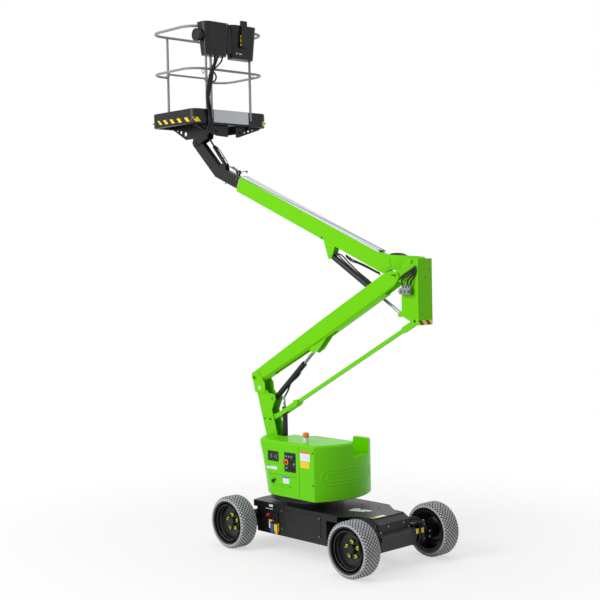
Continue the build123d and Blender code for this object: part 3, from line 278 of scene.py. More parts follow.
class Finish:
    """A material under way: its nodes, and short calls that place the shared groups in it."""

    def __init__(self, name, rough, metal=0.0, coat=0.0, specular=0.5):
        self.material = bpy.data.materials.new(name)
        self.material.use_nodes = True
        self.nodes = self.material.node_tree.nodes
        self.links = self.material.node_tree.links
        self.shader = self.nodes["Principled BSDF"]
        self.shader.inputs["Roughness"].default_value = rough
        self.shader.inputs["Metallic"].default_value = metal
        self.shader.inputs["Coat Weight"].default_value = coat
        self.shader.inputs["Coat Roughness"].default_value = 0.12
        self.shader.inputs["Specular IOR Level"].default_value = specular

    def group(self, tree, **values):
        node = self.nodes.new("ShaderNodeGroup")
        node.node_tree = tree
        for label, value in values.items():
            node.inputs[label].default_value = value
        return node

    def mix(self, share, first, second):
        """Colour between two, each a colour or an output, by a share output."""
        node = self.nodes.new("ShaderNodeMix")
        node.data_type = "RGBA"
        self.links.new(share, node.inputs["Factor"])
        for value, socket in ((first, node.inputs[6]), (second, node.inputs[7])):
            if isinstance(value, tuple):
                socket.default_value = value
            else:
                self.links.new(value, socket)
        return node.outputs[2]

    def span(self, value, low, high, from_low=0.0, from_high=1.0):
        """Output mapped to a low to high range."""
        node = self.nodes.new("ShaderNodeMapRange")
        node.inputs["From Min"].default_value = from_low
        node.inputs["From Max"].default_value = from_high
        node.inputs["To Min"].default_value = low
        node.inputs["To Max"].default_value = high
        self.links.new(value, node.inputs["Value"])
        return node.outputs["Result"]

    def colour(self, value):
        self.links.new(value, self.shader.inputs["Base Color"])

    def rough(self, value):
        self.links.new(value, self.shader.inputs["Roughness"])

    def normal(self, value):
        self.links.new(value, self.shader.inputs["Normal"])


def paint(name, colour, deep, rough=0.3, coat=0.4, dust=0.12, dust_height=1.0, peel=0.03, metal=0.0,
          specular=0.3):
    """Sprayed paint: a colour with cloudy deeper areas, dust low down and a fine orange-peel skin."""
    made = Finish(name, rough, metal=metal, coat=coat, specular=specular)
    cloud = made.group(mottle, Scale=3.5, Detail=5.0)
    dirt = made.group(floor_dust, Height=dust_height, Amount=dust)
    tone = made.mix(made.span(cloud.outputs["Mask"], 0.0, 0.35), colour, deep)
    made.colour(made.mix(dirt.outputs["Mask"], tone, srgb(150, 143, 130)))
    fine = made.group(mottle, Scale=60.0, Detail=3.0)
    made.rough(made.span(fine.outputs["Mask"], rough - 0.05, rough + 0.09))
    skin = made.group(grain, Scale=220.0, Height=peel)
    made.normal(skin.outputs["Normal"])
    return made.material


def dress(material, *names):
    """Puts a material on CAD nodes."""
    for name in names:
        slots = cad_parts[name].material_slots
        for slot in slots:
            slot.material = material


ROW = np.array([0.518, 0.0, 0.0])


def place_mesh(name, points, faces, material, body, smooth=False):
    """Mesh of points given in millimetres from midway between the axles, riding on a body."""
    mesh = bpy.data.meshes.new(name)
    mesh.from_pydata((np.asarray(points, float).reshape(-1, 3) / 1000.0 + ROW).tolist(), [], faces)
    mesh.polygons.foreach_set("use_smooth", np.full(len(mesh.polygons), smooth))
    mesh.materials.append(material)
    made = bpy.data.objects.new(name, mesh)
    scene.collection.objects.link(made)
    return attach(made, body) if body else made


def unit(vectors):
    """Each vector divided by its own length."""
    vectors = np.asarray(vectors, float)
    return vectors / np.linalg.norm(vectors, axis=-1, keepdims=True)


def slabs(name, rows, material, body):
    """Thin blocks, each by its middle, its long and upright directions, and its length, height and
    thickness: corner = middle + a * length / 2 * long + b * height / 2 * up + c * thickness / 2 * out."""
    table = np.asarray(rows, float)
    middle = table[:, None, 0:3]
    long = unit(table[:, 3:6])
    up = unit(table[:, 6:9])
    out = np.cross(long, up)
    size = table[:, None, 9:12] / 2
    sign = np.array([(a, b, c) for c in (-1, 1) for a, b in ((-1, -1), (1, -1), (1, 1), (-1, 1))], float)
    step = size * sign[None]
    points = (middle + step[..., 0:1] * long[:, None] + step[..., 1:2] * up[:, None]
              + step[..., 2:3] * out[:, None])
    sides = np.array([(0, 3, 2, 1), (4, 5, 6, 7), (0, 1, 5, 4), (1, 2, 6, 5), (2, 3, 7, 6), (3, 0, 4, 7)])
    faces = (np.arange(len(table))[:, None, None] * 8 + sides[None]).reshape(-1, 4)
    return place_mesh(name, points, faces.tolist(), material, body)


def flat(name, rows, material, body):
    """Thin blocks on the right side, each by its two X places, two Z places, outer Y and thickness."""
    table = np.asarray(rows, float)
    x0, x1, z0, z1, y, thick = table.T
    one = np.ones_like(x0)
    zero = np.zeros_like(x0)
    full = np.stack([(x0 + x1) / 2, y + thick / 2, (z0 + z1) / 2, one, zero, zero, zero, zero, one,
                     x1 - x0, z1 - z0, thick], axis=-1)
    return slabs(name, full, material, body)


def studs(name, rows, material, body, sides=6, round_top=0.12):
    """Bolt heads, caps and pins, each by its foot, its direction, radius and height: rings of
    foot + h * axis + r * (cos t * a + sin t * b), with the last ring drawn in for a bevel."""
    table = np.asarray(rows, float)
    foot = table[:, None, None, 0:3]
    axis = unit(table[:, 3:6])
    other = np.where(np.abs(axis[:, 2:3]) > 0.9, np.array([1.0, 0.0, 0.0]), np.array([0.0, 0.0, 1.0]))
    a = unit(np.cross(other, axis))
    b = np.cross(axis, a)
    radius = table[:, 6][:, None] * np.array([1.0, 1.0, 1.0 - round_top])[None]
    height = table[:, 7][:, None] * np.array([0.0, 1.0 - round_top, 1.0])[None]
    turn = np.linspace(0.0, 2 * np.pi, sides, endpoint=False)
    turn = turn[None, None, :, None]
    ring = np.cos(turn) * a[:, None, None] + np.sin(turn) * b[:, None, None]
    points = foot + height[..., None, None] * axis[:, None, None] + radius[..., None, None] * ring
    count = 3 * sides
    first = np.arange(len(table)) * count
    step = np.arange(sides)
    beside = (step + 1) % sides
    quads = np.concatenate([
        np.stack([level * sides + step, level * sides + beside, (level + 1) * sides + beside,
                  (level + 1) * sides + step], axis=-1) for level in (0, 1)])
    faces = (first[:, None, None] + quads[None]).reshape(-1, 4).tolist()
    faces += (first[:, None] + (2 * sides + step)[None]).tolist()
    faces += (first[:, None] + step[::-1][None]).tolist()
    return place_mesh(name, points, faces, material, body, smooth=False)


def smooth_path(points, per_span=10):
    """Rounded line through points: p = b + (c - a) t / 2 + (2a - 5b + 4c - d) t^2 / 2
    + (3b - a - 3c + d) t^3 / 2 on each span from b to c."""
    p = np.asarray(points, float)
    p = np.concatenate([2 * p[:1] - p[1:2], p, 2 * p[-1:] - p[-2:-1]])
    a, b, c, d = (p[k:len(p) - 3 + k, None] for k in range(4))
    t = np.linspace(0.0, 1.0, per_span, endpoint=False)[None, :, None]
    curve = b + (c - a) * t / 2 + (2 * a - 5 * b + 4 * c - d) * t**2 / 2 + (3 * b - a - 3 * c + d) * t**3 / 2
    return np.concatenate([curve.reshape(-1, 3), p[-2:-1]])


def hoses(name, paths, radius, material, body, sides=10, per_span=10):
    """Hoses of one radius along rounded paths: ring = path + radius * (cos t * a + sin t * b), where
    a and b are square to the path."""
    points = []
    faces = []
    start = 0
    turn = np.linspace(0.0, 2 * np.pi, sides, endpoint=False)
    for path in paths:
        line = smooth_path(path, per_span)
        ahead = unit(np.gradient(line, axis=0))
        spread = line.max(axis=0) - line.min(axis=0)
        flattest = np.eye(3)[np.argmin(spread)]
        a = unit(np.cross(ahead, flattest[None]))
        b = np.cross(ahead, a)
        rings = (line[:, None] + radius * (np.cos(turn)[None, :, None] * a[:, None]
                                           + np.sin(turn)[None, :, None] * b[:, None]))
        row, col = np.meshgrid(np.arange(len(line) - 1), np.arange(sides), indexing="ij")
        beside = (col + 1) % sides
        quads = np.stack([row * sides + col, row * sides + beside, (row + 1) * sides + beside,
                          (row + 1) * sides + col], axis=-1).reshape(-1, 4) + start
        faces += quads.tolist()
        faces.append((start + np.arange(sides)[::-1]).tolist())
        faces.append((start + (len(line) - 1) * sides + np.arange(sides)).tolist())
        points.append(rings.reshape(-1, 3))
        start += len(line) * sides
    return place_mesh(name, np.concatenate(points), faces, material, body, smooth=True)


chassis_black = paint("chassis_black", srgb(13, 14, 16), srgb(8, 9, 11), rough=0.38, coat=0.06, dust=0.06,
                      dust_height=0.55)
dress(chassis_black, "chassis_frame", "knuckle_left", "knuckle_right", "battery_pack", "counterweight")
machined = paint("machined_steel", srgb(150, 152, 155), srgb(120, 122, 126), rough=0.35, coat=0.0, dust=0.3,
                 metal=1.0)
dress(machined, "slew_ring")
dress(paint("knob_red", srgb(205, 30, 22), srgb(170, 22, 18), rough=0.32), "isolator_knob")
plug_blue = paint("plug_blue", srgb(24, 96, 170), srgb(18, 76, 140), rough=0.4)
dress(plug_blue, "plug_connectors")
bolt_zinc = paint("bolt_zinc", srgb(150, 152, 156), srgb(118, 120, 124), rough=0.35, coat=0.0, metal=0.9,
                  peel=0.02)
bolt_dark = paint("bolt_dark", srgb(34, 35, 37), srgb(22, 23, 25), rough=0.4, coat=0.1)
hose_black = paint("hose_black", srgb(26, 27, 29), srgb(18, 19, 21), rough=0.5, coat=0.0, peel=0.15)
label_white = paint("label_white", srgb(226, 229, 232), srgb(214, 217, 221), rough=0.4, peel=0.01)
label_grey = paint("label_grey", srgb(150, 154, 158), srgb(138, 142, 146), rough=0.45, peel=0.01)
label_yellow = paint("label_yellow", srgb(242, 206, 20), srgb(230, 190, 14), rough=0.4, peel=0.01)
label_orange = paint("label_orange", srgb(228, 104, 34), srgb(214, 92, 26), rough=0.4, peel=0.01)
label_blue = paint("label_blue", srgb(30, 112, 190), srgb(24, 96, 168), rough=0.4, peel=0.01)

# Side cover with four bolts, blank plates, two hanging plugs and the signs on the deck.
PANEL_CORNERS = [(-374, 481), (243, 481), (-374, 279), (243, 279)]
panel_y = -425.0
side_y = -420.0
studs("side_panel_bolts", [
    (x, panel_y, z, 0, -1, 0, 9.0, 6.0) for x, z in PANEL_CORNERS
], bolt_zinc, "chassis")
studs("side_panel_washers", [
    (x, panel_y, z, 0, -1, 0, 14.0, 1.6) for x, z in PANEL_CORNERS
], bolt_dark, "chassis", sides=20)
flat("side_seams", [
    (-399, -395, 258, 504, side_y - 1, 1), (266, 270, 258, 504, side_y - 1, 1),
    (-660, -470, 470, 482, side_y - 2, 2),
], bolt_dark, "chassis")
flat("side_plates", [
    (-596, -532, 500, 529, side_y - 1.2, 1.2), (-606, -520, 250, 352, side_y - 1.2, 1.2),
    (-652, -534, 472, 478, side_y - 6, 4),
], label_white, "chassis")
flat("side_plate_band", [(-606, -520, 324, 352, side_y - 1.6, 0.5)], label_yellow, "chassis")
hoses("plug_leads", [
    [(-522, side_y - 17, 326), (-520, side_y - 20, 352), (-488, side_y - 16, 386), (-462, side_y - 14, 430)],
    [(-455, side_y - 17, 326), (-452, side_y - 20, 356), (-450, side_y - 16, 396), (-448, side_y - 14, 436)],
], 7.0, hose_black, "chassis")
flat("plug_yellow", [(-480.5, -429.5, 235, 331, side_y - 35, 36), (-471, -439, 205, 236, side_y - 29, 24)],
     label_yellow, "chassis")
flat("plug_collars", [(-547, -497, 318, 336, side_y - 36, 37), (-480.8, -430.2, 318, 336, side_y - 36, 37)],
     bolt_dark, "chassis")
slabs("deck_sticker", [
    (480, -45, 548.6, 1, 0.34, 0, -0.34, 1, 0, 190, 96, 0.8),
    (560, 10, 548.6, 1, 0.1, 0, -0.1, 1, 0, 110, 70, 0.7),
    (430, -20, 548.6, 1, 0.7, 0, -0.7, 1, 0, 70, 110, 0.6),
], label_white, "chassis")
slabs("deck_strip", [
    (872, -226, 548.5, 0, 1, 0, -1, 0, 0, 20, 56, 0.9), (872, -158, 548.5, 0, 1, 0, -1, 0, 0, 60, 56, 0.9),
], label_yellow, "chassis")
slabs("deck_strip_pale", [(872, -80, 548.5, 0, 1, 0, -1, 0, 0, 96, 56, 0.9)], label_white, "chassis")
studs("end_bolts", [
    (987, y, z, 1, 0, 0, 11.0, 9.0) for y, z in ((-105, 456), (135, 460), (225, 408), (-225, 404))
], bolt_zinc, "chassis")
studs("deck_screws", [
    (x, y, 548, 0, 0, 1, 10.0, 5.0) for x in (300.0, 560.0, 860.0) for y in (-205.0, 205.0)
], bolt_dark, "chassis")

# Hoses to the left steering knuckle and its motor, with their clamps and ports.
hoses("axle_hoses", [
    [(940, 246, 470), (980, 300, 492), (1024, 356, 470), (1040, 400, 420), (1046, 430, 372)],
    [(936, 262, 452), (972, 320, 466), (1010, 372, 436), (1026, 416, 394), (1034, 446, 350)],
    [(944, 240, 430), (990, 290, 446), (1050, 340, 440), (1072, 392, 404), (1062, 432, 350)],
    [(940, -246, 470), (980, -300, 488), (1018, -356, 466), (1032, -400, 420), (1040, -430, 372)],
    [(944, -240, 430), (990, -290, 440), (1044, -340, 432), (1060, -392, 400), (1052, -432, 350)],
], 8.5, hose_black, "chassis")
slabs("axle_plates", [
    (1080, 262, 355, 0, 1, 0, 0, 0, 1, 38, 54, 3), (1080, 350, 352, 0, 1, 0, 0, 0, 1, 38, 54, 3),
], label_yellow, "chassis")
slabs("axle_stays", [
    (1076, 306, 353, 0, 1, 0, 0, 0, 1, 130, 12, 4), (1040, 246, 353, 1, 0, 0, 0, 0, 1, 76, 12, 4),
], bolt_dark, "chassis")
studs("axle_ports", [
    (960, 430, 402, 1, 0, 0.3, 12.0, 26.0), (1000, 440, 428, 1, 0, 0.3, 14.0, 26.0),
    (1020, 440, 400, 1, 0, -0.2, 10.0, 22.0), (1090, 452, 330, 1, 0, 0, 11.0, 12.0),
    (1090, 452, 270, 1, 0, 0, 11.0, 12.0), (1010, 452, 232, 1, 0, 0, 11.0, 12.0),
], bolt_zinc, "knuckle_left", sides=14)

# ---------------------------------------------------------------- wheels
# Wide solid-filled tyres of pale non-marking rubber on black dished steel rims, each held by
# nuts that carry yellow-green arrow indicators round a plain hub.


def tread_rubber():
    """Rubber whose sunk tread is painted darker as shade in the grooves, by the mesh's own relief; the block
    tops keep the pale rubber's cloudy grey.
    """
    made = Finish("tyre_grey", 0.8, specular=0.3)
    cloud = made.group(mottle, Scale=9.0, Detail=6.0)
    dirt = made.group(floor_dust, Height=0.5, Amount=0.35)
    relief = made.nodes.new("ShaderNodeAttribute")
    relief.attribute_name = "sunk"
    tops = made.mix(made.span(cloud.outputs["Mask"], 0.0, 0.7), srgb(186, 188, 190), srgb(168, 170, 172))
    # The sunk grooves take near-black grey: painted shade in the grooves.
    tone = made.mix(relief.outputs["Fac"], tops, srgb(46, 47, 49))
    made.colour(made.mix(dirt.outputs["Mask"], tone, srgb(150, 148, 142)))
    fine = made.group(mottle, Scale=80.0, Detail=4.0)
    made.rough(made.span(fine.outputs["Mask"], 0.72, 0.92))
    skin = made.group(grain, Scale=260.0, Height=0.25)
    made.normal(skin.outputs["Normal"])
    return made.material


TYRE_SHAPE = {"bore": 215.0, "bead": 102.0, "edge_w": 115.8, "shoulder": 46.0, "radius": 303.8}


def tread_tyre(name, x, y, axle_z, material, body, around=512, blocks=46, rows=46.0, depth=7.0):
    """Tyre ring: its section (w, r) is the bore, two flat walls, two round shoulders and a flat crown,
    and point = (x + r sin t, y + w, axle + r cos t). The crown and shoulders sink by depth in the
    grooves, a net where t * blocks / 2 pi plus or minus s / rows is near a whole number."""
    edge = TYRE_SHAPE
    crown = edge["edge_w"] - edge["shoulder"]
    low = edge["radius"] - edge["shoulder"]
    arc = np.linspace(0.0, np.pi / 2, 17)
    flat_w = np.linspace(crown, -crown, 37)[1:-1]
    round_w = crown + edge["shoulder"] * np.cos(arc)
    w = np.concatenate([[edge["bead"], edge["bead"], 110.0], round_w, flat_w,
                        -round_w[::-1], [-110.0, -edge["bead"], -edge["bead"]]])
    r = np.concatenate([[edge["bore"], 252.0, 256.0], low + edge["shoulder"] * np.sin(arc),
                        np.full(flat_w.shape, edge["radius"]), low + edge["shoulder"] * np.sin(arc[::-1]),
                        [256.0, 252.0, edge["bore"]]])
    out_w = np.concatenate([[0, 0, 0.5], np.cos(arc), np.zeros(flat_w.shape),
                            -np.cos(arc[::-1]), [-0.5, 0, 0]])
    out_r = np.concatenate([[0, 0, 0.8], np.sin(arc), np.ones(flat_w.shape), np.sin(arc[::-1]), [0.8, 0, 0]])
    run = np.concatenate([[0.0], np.cumsum(np.hypot(np.diff(w), np.diff(r)))])
    run -= run[-1] / 2
    turn = np.linspace(0.0, 2 * np.pi, around, endpoint=False)[:, None]
    along = turn * blocks / (2 * np.pi)
    row = run[None] / rows
    one_way = np.abs(np.mod(along + row, 1.0) - 0.5)
    other_way = np.abs(np.mod(along - row, 1.0) - 0.5)
    sunk = np.clip((np.maximum(one_way, other_way) - 0.34) / 0.06, 0.0, 1.0)
    sunk *= np.clip((r[None] - 268.0) / 14.0, 0.0, 1.0)
    ring_w = w[None] - depth * sunk * out_w[None]
    ring_r = r[None] - depth * sunk * out_r[None]
    points = np.stack([x + ring_r * np.sin(turn), y + ring_w, axle_z + ring_r * np.cos(turn)], axis=-1)
    count = len(w)
    one, two = np.meshgrid(np.arange(around), np.arange(count), indexing="ij")
    next_turn = (one + 1) % around
    next_run = (two + 1) % count
    faces = np.stack([one * count + two, one * count + next_run, next_turn * count + next_run,
                      next_turn * count + two], axis=-1).reshape(-1, 4)
    made = place_mesh(name, points, faces.tolist(), material, body, smooth=False)
    # The sunk share goes onto the points for the tyre material, which paints shade into the grooves by it.
    layer = made.data.attributes.new("sunk", "FLOAT", "POINT")
    layer.data.foreach_set("value", sunk.reshape(-1).astype(np.float32))
    return made


tyre_grey = tread_rubber()
rim_black = paint("rim_black", srgb(12, 13, 14), srgb(8, 9, 10), rough=0.3, coat=0.1, dust=0.03,
                  dust_height=0.6)
# Lighter grey for the raised rings on the black rims: painted highlight along the ridges.
rim_painted_highlight = paint("rim_painted_highlight", srgb(58, 60, 64), srgb(46, 48, 52), rough=0.26, coat=0.2, dust=0.02,
                 specular=0.5)
indicator = paint("indicator_lime", srgb(206, 226, 30), srgb(190, 210, 24), rough=0.4, dust=0.0)
WHEEL_Y = 634.0
AXLE_Z = 304.0
NUT_CIRCLE = 80.0
# name, middle along X, side
WHEELS = [
    ("front_left", -982.0, 1), ("front_right", -982.0, -1),
    ("rear_left", 982.0, 1), ("rear_right", 982.0, -1),
]
around_now = 512
for wheel, wheel_x, hand in WHEELS:
    body = f"wheel_{wheel}"
    tyre = tread_tyre(f"tread_{wheel}", wheel_x, hand * WHEEL_Y, AXLE_Z, tyre_grey, body, around=around_now)
    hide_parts(f"tyre_{wheel}")
    dress(tyre_grey, f"tyre_{wheel}")
    dress(rim_black, f"rim_{wheel}")
    turn = np.radians(18.0) + np.arange(5) * 2 * np.pi / 5
    nut_x = wheel_x + NUT_CIRCLE * np.cos(turn)
    nut_z = AXLE_Z + NUT_CIRCLE * np.sin(turn)
    face_y = hand * (WHEEL_Y + 26.0)
    studs(f"nut_caps_{wheel}", [
        (x, face_y - hand * 8, z, 0, hand, 0, 20.0, 11.0) for x, z in zip(nut_x, nut_z)
    ], indicator, body, sides=18)
    studs(f"nut_ends_{wheel}", [(x, face_y, z, 0, hand, 0, 9.0, 9.0) for x, z in zip(nut_x, nut_z)],
          bolt_dark, body, sides=12)
    # Raised rings on each rim's face, coloured in the lighter grey of painted highlight.
    round_rim = np.radians(np.linspace(0.0, 360.0, 33))
    hoses(f"rim_beads_{wheel}", [
        [(wheel_x + r * np.sin(a), hand * (WHEEL_Y + out), AXLE_Z + r * np.cos(a)) for a in round_rim]
        for r, out in ((150.0, 34.0), (199.0, 51.0), (204.5, 87.0), (228.0, 97.0))
    ], 2.6, rim_painted_highlight, body, sides=8, per_span=3)
    lean = turn + 0.9
    slabs(f"nut_arrows_{wheel}", [
        (x + 20.0 * np.cos(a), face_y - hand * 2, z + 20.0 * np.sin(a),
         np.cos(a), 0, np.sin(a), 0, 1, 0, 22.0, 8.0, 9.0)
        for x, z, a in zip(nut_x, nut_z, lean)
    ], indicator, body)

# ---------------------------------------------------------------- turret
# Green moulded hood round a well that takes the lowered booms, on a black platform plate,
# with two control panels, a beacon and the leaning steel post.

lime_moulded = paint("lime_moulded", srgb(106, 210, 0), srgb(99, 201, 0), rough=0.3, coat=0.08, dust=0.02,
                     dust_height=0.9, specular=0.12)
dress(lime_moulded, "turret_hood")
dress(chassis_black, "turret_platform")
lime_paint = paint("lime_paint", srgb(114, 211, 0), srgb(108, 204, 0), rough=0.34, coat=0.05, dust=0.02,
                   specular=0.12)
dress(lime_paint, "mast_post", "lower_boom", "brace", "upright", "upper_boom")
panel_black = paint("panel_black", srgb(20, 21, 23), srgb(13, 14, 16), rough=0.36, coat=0.06, dust=0.03)
dress(panel_black, "control_panels", "hose_guard")
# Seams, blank labels, handle, stop button, keys and lamps on the hood's right side.
hood_y = -453.0
flat("hood_seams", [
    (-39, -35, 672, 1254, hood_y - 0.6, 1.2), (-566, -84, 902, 905, hood_y - 0.6, 1.2),
], bolt_dark, "turret")
studs("hood_screws", [(x, hood_y, z, 0, -1, 0, 10.0, 4.0) for x, z in ((185, 1207), (185, 842))],
      bolt_dark, "turret", sides=16)
flat("tall_label", [(-18, 142, 1104, 1192, hood_y - 0.7, 1.0)], label_white, "turret")
flat("tall_label_head", [(-18, 142, 1192, 1214, hood_y - 0.7, 1.0)], label_orange, "turret")
flat("tall_label_foot", [(-16, 128, 1026, 1098, hood_y - 0.7, 1.0)], label_yellow, "turret")
flat("wide_label", [(-586, -520, 956, 986, hood_y - 0.7, 1.0), (-512, -408, 956, 992, hood_y - 0.7, 1.0)],
     label_white, "turret")
flat("wide_label_bands", [
    (-586, -520, 986, 996, hood_y - 0.7, 1.0), (-330, -208, 876, 891, hood_y - 0.7, 1.0),
], label_blue, "turret")
flat("small_label", [(-312, -208, 815, 876, hood_y - 0.7, 1.0)], label_white, "turret")
slabs("ledge_handle", [(-462, hood_y - 14, 838, 1, 0, 0.35, -0.35, 0, 1, 66, 16, 14),
                       (-470, hood_y - 12, 822, 0.3, 0, 1, -1, 0, 0.3, 34, 20, 22)], bolt_dark, "turret")
studs("stop_ring", [(-247, hood_y - 0.5, 1062, 0, -1, 0, 33.0, 5.0)], label_yellow, "turret", sides=28)
studs("stop_button", [(-247, hood_y - 24, 1062, 0, -1, 0, 26.5, 9.0)],
      paint("stop_red", srgb(216, 40, 26), srgb(190, 30, 20), rough=0.3), "turret", sides=28)
flat("panel_keys", [
    (-262, -238, 1118, 1136, hood_y - 1.2, 3), (-216, -196, 1118, 1136, hood_y - 1.2, 3),
    (-170, -150, 1118, 1136, hood_y - 1.2, 3), (-262, -238, 985, 1003, hood_y - 1.2, 3),
    (-132, -112, 1040, 1060, hood_y - 1.2, 3),
], label_grey, "turret")
flat("window_marks", [
    (-512, -500, 1088, 1132, hood_y + 0.2, 2), (-470, -446, 1102, 1110, hood_y + 0.2, 2),
    (-424, -414, 1078, 1136, hood_y + 0.2, 2),
], bolt_zinc, "turret")
studs("panel_knobs", [
    (x, hood_y, z, 0, -1, 0, r, 12.0) for x, z, r in (
        (-170, 1062, 14.0), (-130, 1120, 10.0), (-205, 1000, 12.0), (-160, 985, 11.0), (-120, 985, 11.0))
], bolt_dark, "turret", sides=16)
studs("panel_lamps", [(-262, hood_y, 1150, 0, -1, 0, 6.0, 5.0), (-235, hood_y, 1000, 0, -1, 0, 13.0, 6.0)],
      label_blue, "turret", sides=16)


SLEW_X = -385.0


def ridge_on_tail(name, rows, radius, material, body, width=9.0, height=4.5, samples=48):
    """Low rounded ridge on the round tail along each closed path of (angle, z): point = axis +
    (radius + height * bump) * (cos t, sin t), where bump = cos of the place across the width."""
    across = np.linspace(-1.0, 1.0, 7)
    points = []
    faces = []
    start = 0
    for deg0, deg1, z0, z1 in rows:
        half = (z1 - z0) / 2
        span = np.radians(deg1 - deg0) * radius
        straight = np.linspace(-span / 2 + half, span / 2 - half, samples)
        bend = np.linspace(-np.pi / 2, np.pi / 2, 17)[1:-1]
        path_s = np.concatenate([straight, span / 2 - half + half * np.cos(bend), straight[::-1],
                                 -span / 2 + half - half * np.cos(bend)])
        path_z = np.concatenate([np.full(samples, -half), half * np.sin(bend), np.full(samples, half),
                                 half * np.sin(bend[::-1])])
        out_s = np.concatenate([np.zeros(samples), np.cos(bend), np.zeros(samples), -np.cos(bend)])
        out_z = np.concatenate([np.full(samples, -1.0), np.sin(bend), np.ones(samples), np.sin(bend[::-1])])
        place_s = path_s[:, None] + width * across[None] * out_s[:, None]
        place_z = path_z[:, None] + width * across[None] * out_z[:, None]
        rise = height * np.cos(across * np.pi / 2)[None] - 0.6
        t = np.radians((deg0 + deg1) / 2) + place_s / radius
        z = (z0 + z1) / 2 + place_z
        top = np.stack([SLEW_X + (radius + rise) * np.cos(t), (radius + rise) * np.sin(t), z], axis=-1)
        side = t[:, [0, -1]]
        under = np.stack([SLEW_X + (radius - 3.0) * np.cos(side), (radius - 3.0) * np.sin(side),
                          z[:, [0, -1]]], axis=-1)
        ring = np.concatenate([under[:, :1], top, under[:, 1:]], axis=1)
        count = ring.shape[1]
        one, two = np.meshgrid(np.arange(len(path_s)), np.arange(count), indexing="ij")
        next_one = (one + 1) % len(path_s)
        next_two = (two + 1) % count
        faces.append(np.stack([one * count + two, next_one * count + two, next_one * count + next_two,
                               one * count + next_two], axis=-1).reshape(-1, 4) + start)
        points.append(ring.reshape(-1, 3))
        start += len(path_s) * count
    faces = np.concatenate(faces).tolist()
    return place_mesh(name, np.concatenate(points), faces, material, body, smooth=True)


ridge_on_tail("tail_relief", [
    (-31.0, 33.0, 842.0, 1008.0), (-26.0, 28.0, 878.0, 972.0),
], 745.0, lime_moulded, "turret")
dress(paint("beacon_white", srgb(228, 228, 224), srgb(214, 214, 210), rough=0.3, dust=0.1), "beacon_base")
amber = paint("lens_amber", srgb(240, 126, 20), srgb(228, 104, 10), rough=0.2, coat=0.3, dust=0.0)
dress(amber, "beacon_lens")
studs("beacon_cap", [(-78, -300, 1348, 0, 0, 1, 36.0, 46.0)], amber, "turret", sides=40)

# ---------------------------------------------------------------- booms
# Folded and welded steel boxes, with chromed rods in black barrels and a bright cover along
# the top of the telescopic boom.

chrome = paint("chrome_rod", srgb(138, 142, 146), srgb(124, 128, 133), rough=0.24, coat=0.0, dust=0.0,
               metal=1.0, peel=0.01)
dress(chrome, "lift_rod", "tilt_rod", "level_rod")
dress(panel_black, "lift_barrel", "tilt_barrel", "level_barrel", "boom_nose")
cover = paint("cover_silver", srgb(212, 215, 220), srgb(204, 207, 213), rough=0.5, coat=0.0, dust=0.01,
              peel=0.0, specular=0.15)
dress(cover, "boom_cover")
dress(paint("wear_nylon", srgb(205, 203, 190), srgb(190, 188, 176), rough=0.5), "wear_pads")
dress(machined, "valve_block")


def hazard_finish(name, lean_y, lean_z, pitch, first, second):
    """Bands of two colours: second where frac((y * lean_y + z * lean_z) / pitch) is over a half."""
    made = Finish(name, 0.4, coat=0.2)
    place = made.nodes.new("ShaderNodeTexCoord")
    along = made.nodes.new("ShaderNodeVectorMath")
    along.operation = "DOT_PRODUCT"
    along.inputs[1].default_value = (0.0, lean_y / pitch, lean_z / pitch)
    made.links.new(place.outputs["Object"], along.inputs[0])
    part = made.nodes.new("ShaderNodeMath")
    part.operation = "FRACT"
    made.links.new(along.outputs["Value"], part.inputs[0])
    over = made.nodes.new("ShaderNodeMath")
    over.operation = "GREATER_THAN"
    over.inputs[1].default_value = 0.5
    made.links.new(part.outputs[0], over.inputs[0])
    cloud = made.group(mottle, Scale=20.0, Detail=4.0)
    made.rough(made.span(cloud.outputs["Mask"], 0.34, 0.48))
    made.colour(made.mix(over.outputs[0], first, second))
    return made.material


warn = hazard_finish("warning_bands", 1.0, 0.9, 0.11, srgb(16, 16, 16), srgb(255, 214, 20))
# Warning band, pin ends, bolts and small discs on the post, the lower boom and the upright.
slabs("upright_band", [(1478.0, 0, 2674, 0, 1, 0, 0, 0, 1, 223, 46, 0.6)], warn, "upright")
studs("post_pins", [
    (-1150, -132, 1945, 0, -1, 0, 15.0, 5.0), (-846, -122, 1714, 0, -1, 0, 9.0, 4.0),
    (-890, -120, 1465, 0, -1, 0, 12.0, 4.0), (-990, -112, 1462, 0, -1, 0, 10.0, 5.0),
    (-761, -112, 1588, 0, -1, 0, 15.0, 6.0),
], bolt_dark, "turret", sides=20)
studs("post_disc", [(-1065, -124, 1826, 0, -1, 0, 21.0, 1.5)], label_white, "turret", sides=28)
studs("post_dot", [(-1065, -125.4, 1826, 0, -1, 0, 9.0, 1.0)], label_orange, "turret", sides=20)
studs("boom_pins", [
    (1153.6, -118, 3169.9, 0, -1, 0, 12.0, 5.0), (1116, -112, 3176, 0, -1, 0, 9.0, 5.0),
], bolt_dark, "lower_boom", sides=20)
studs("upright_bolts", [
    (1379, -95, 3191, 0, -1, 0, 10.0, 8.0), (1413.6, -103, 2689.9, 0, -1, 0, 12.0, 5.0),
    (1474, 8, 3150, 1, 0, 0, 9.0, 4.3), (1474, 78, 3229, 1, 0, 0, 9.0, 4.3),
    (1474, -60, 2760, 1, 0, 0, 9.0, 4.3),
], bolt_dark, "upright", sides=12)
studs("guard_fittings", [
    (-700, -50, 1619, 0, 0, 1, 15.0, 22.0), (-700, -50, 1640, 0, 0, 1, 11.0, 26.0),
    (-714, -46, 1640, -0.4, 0, 1, 10.0, 26.0), (-690, -58, 1640, 0.2, -0.3, 1, 9.0, 26.0),
], bolt_zinc, "turret", sides=12)
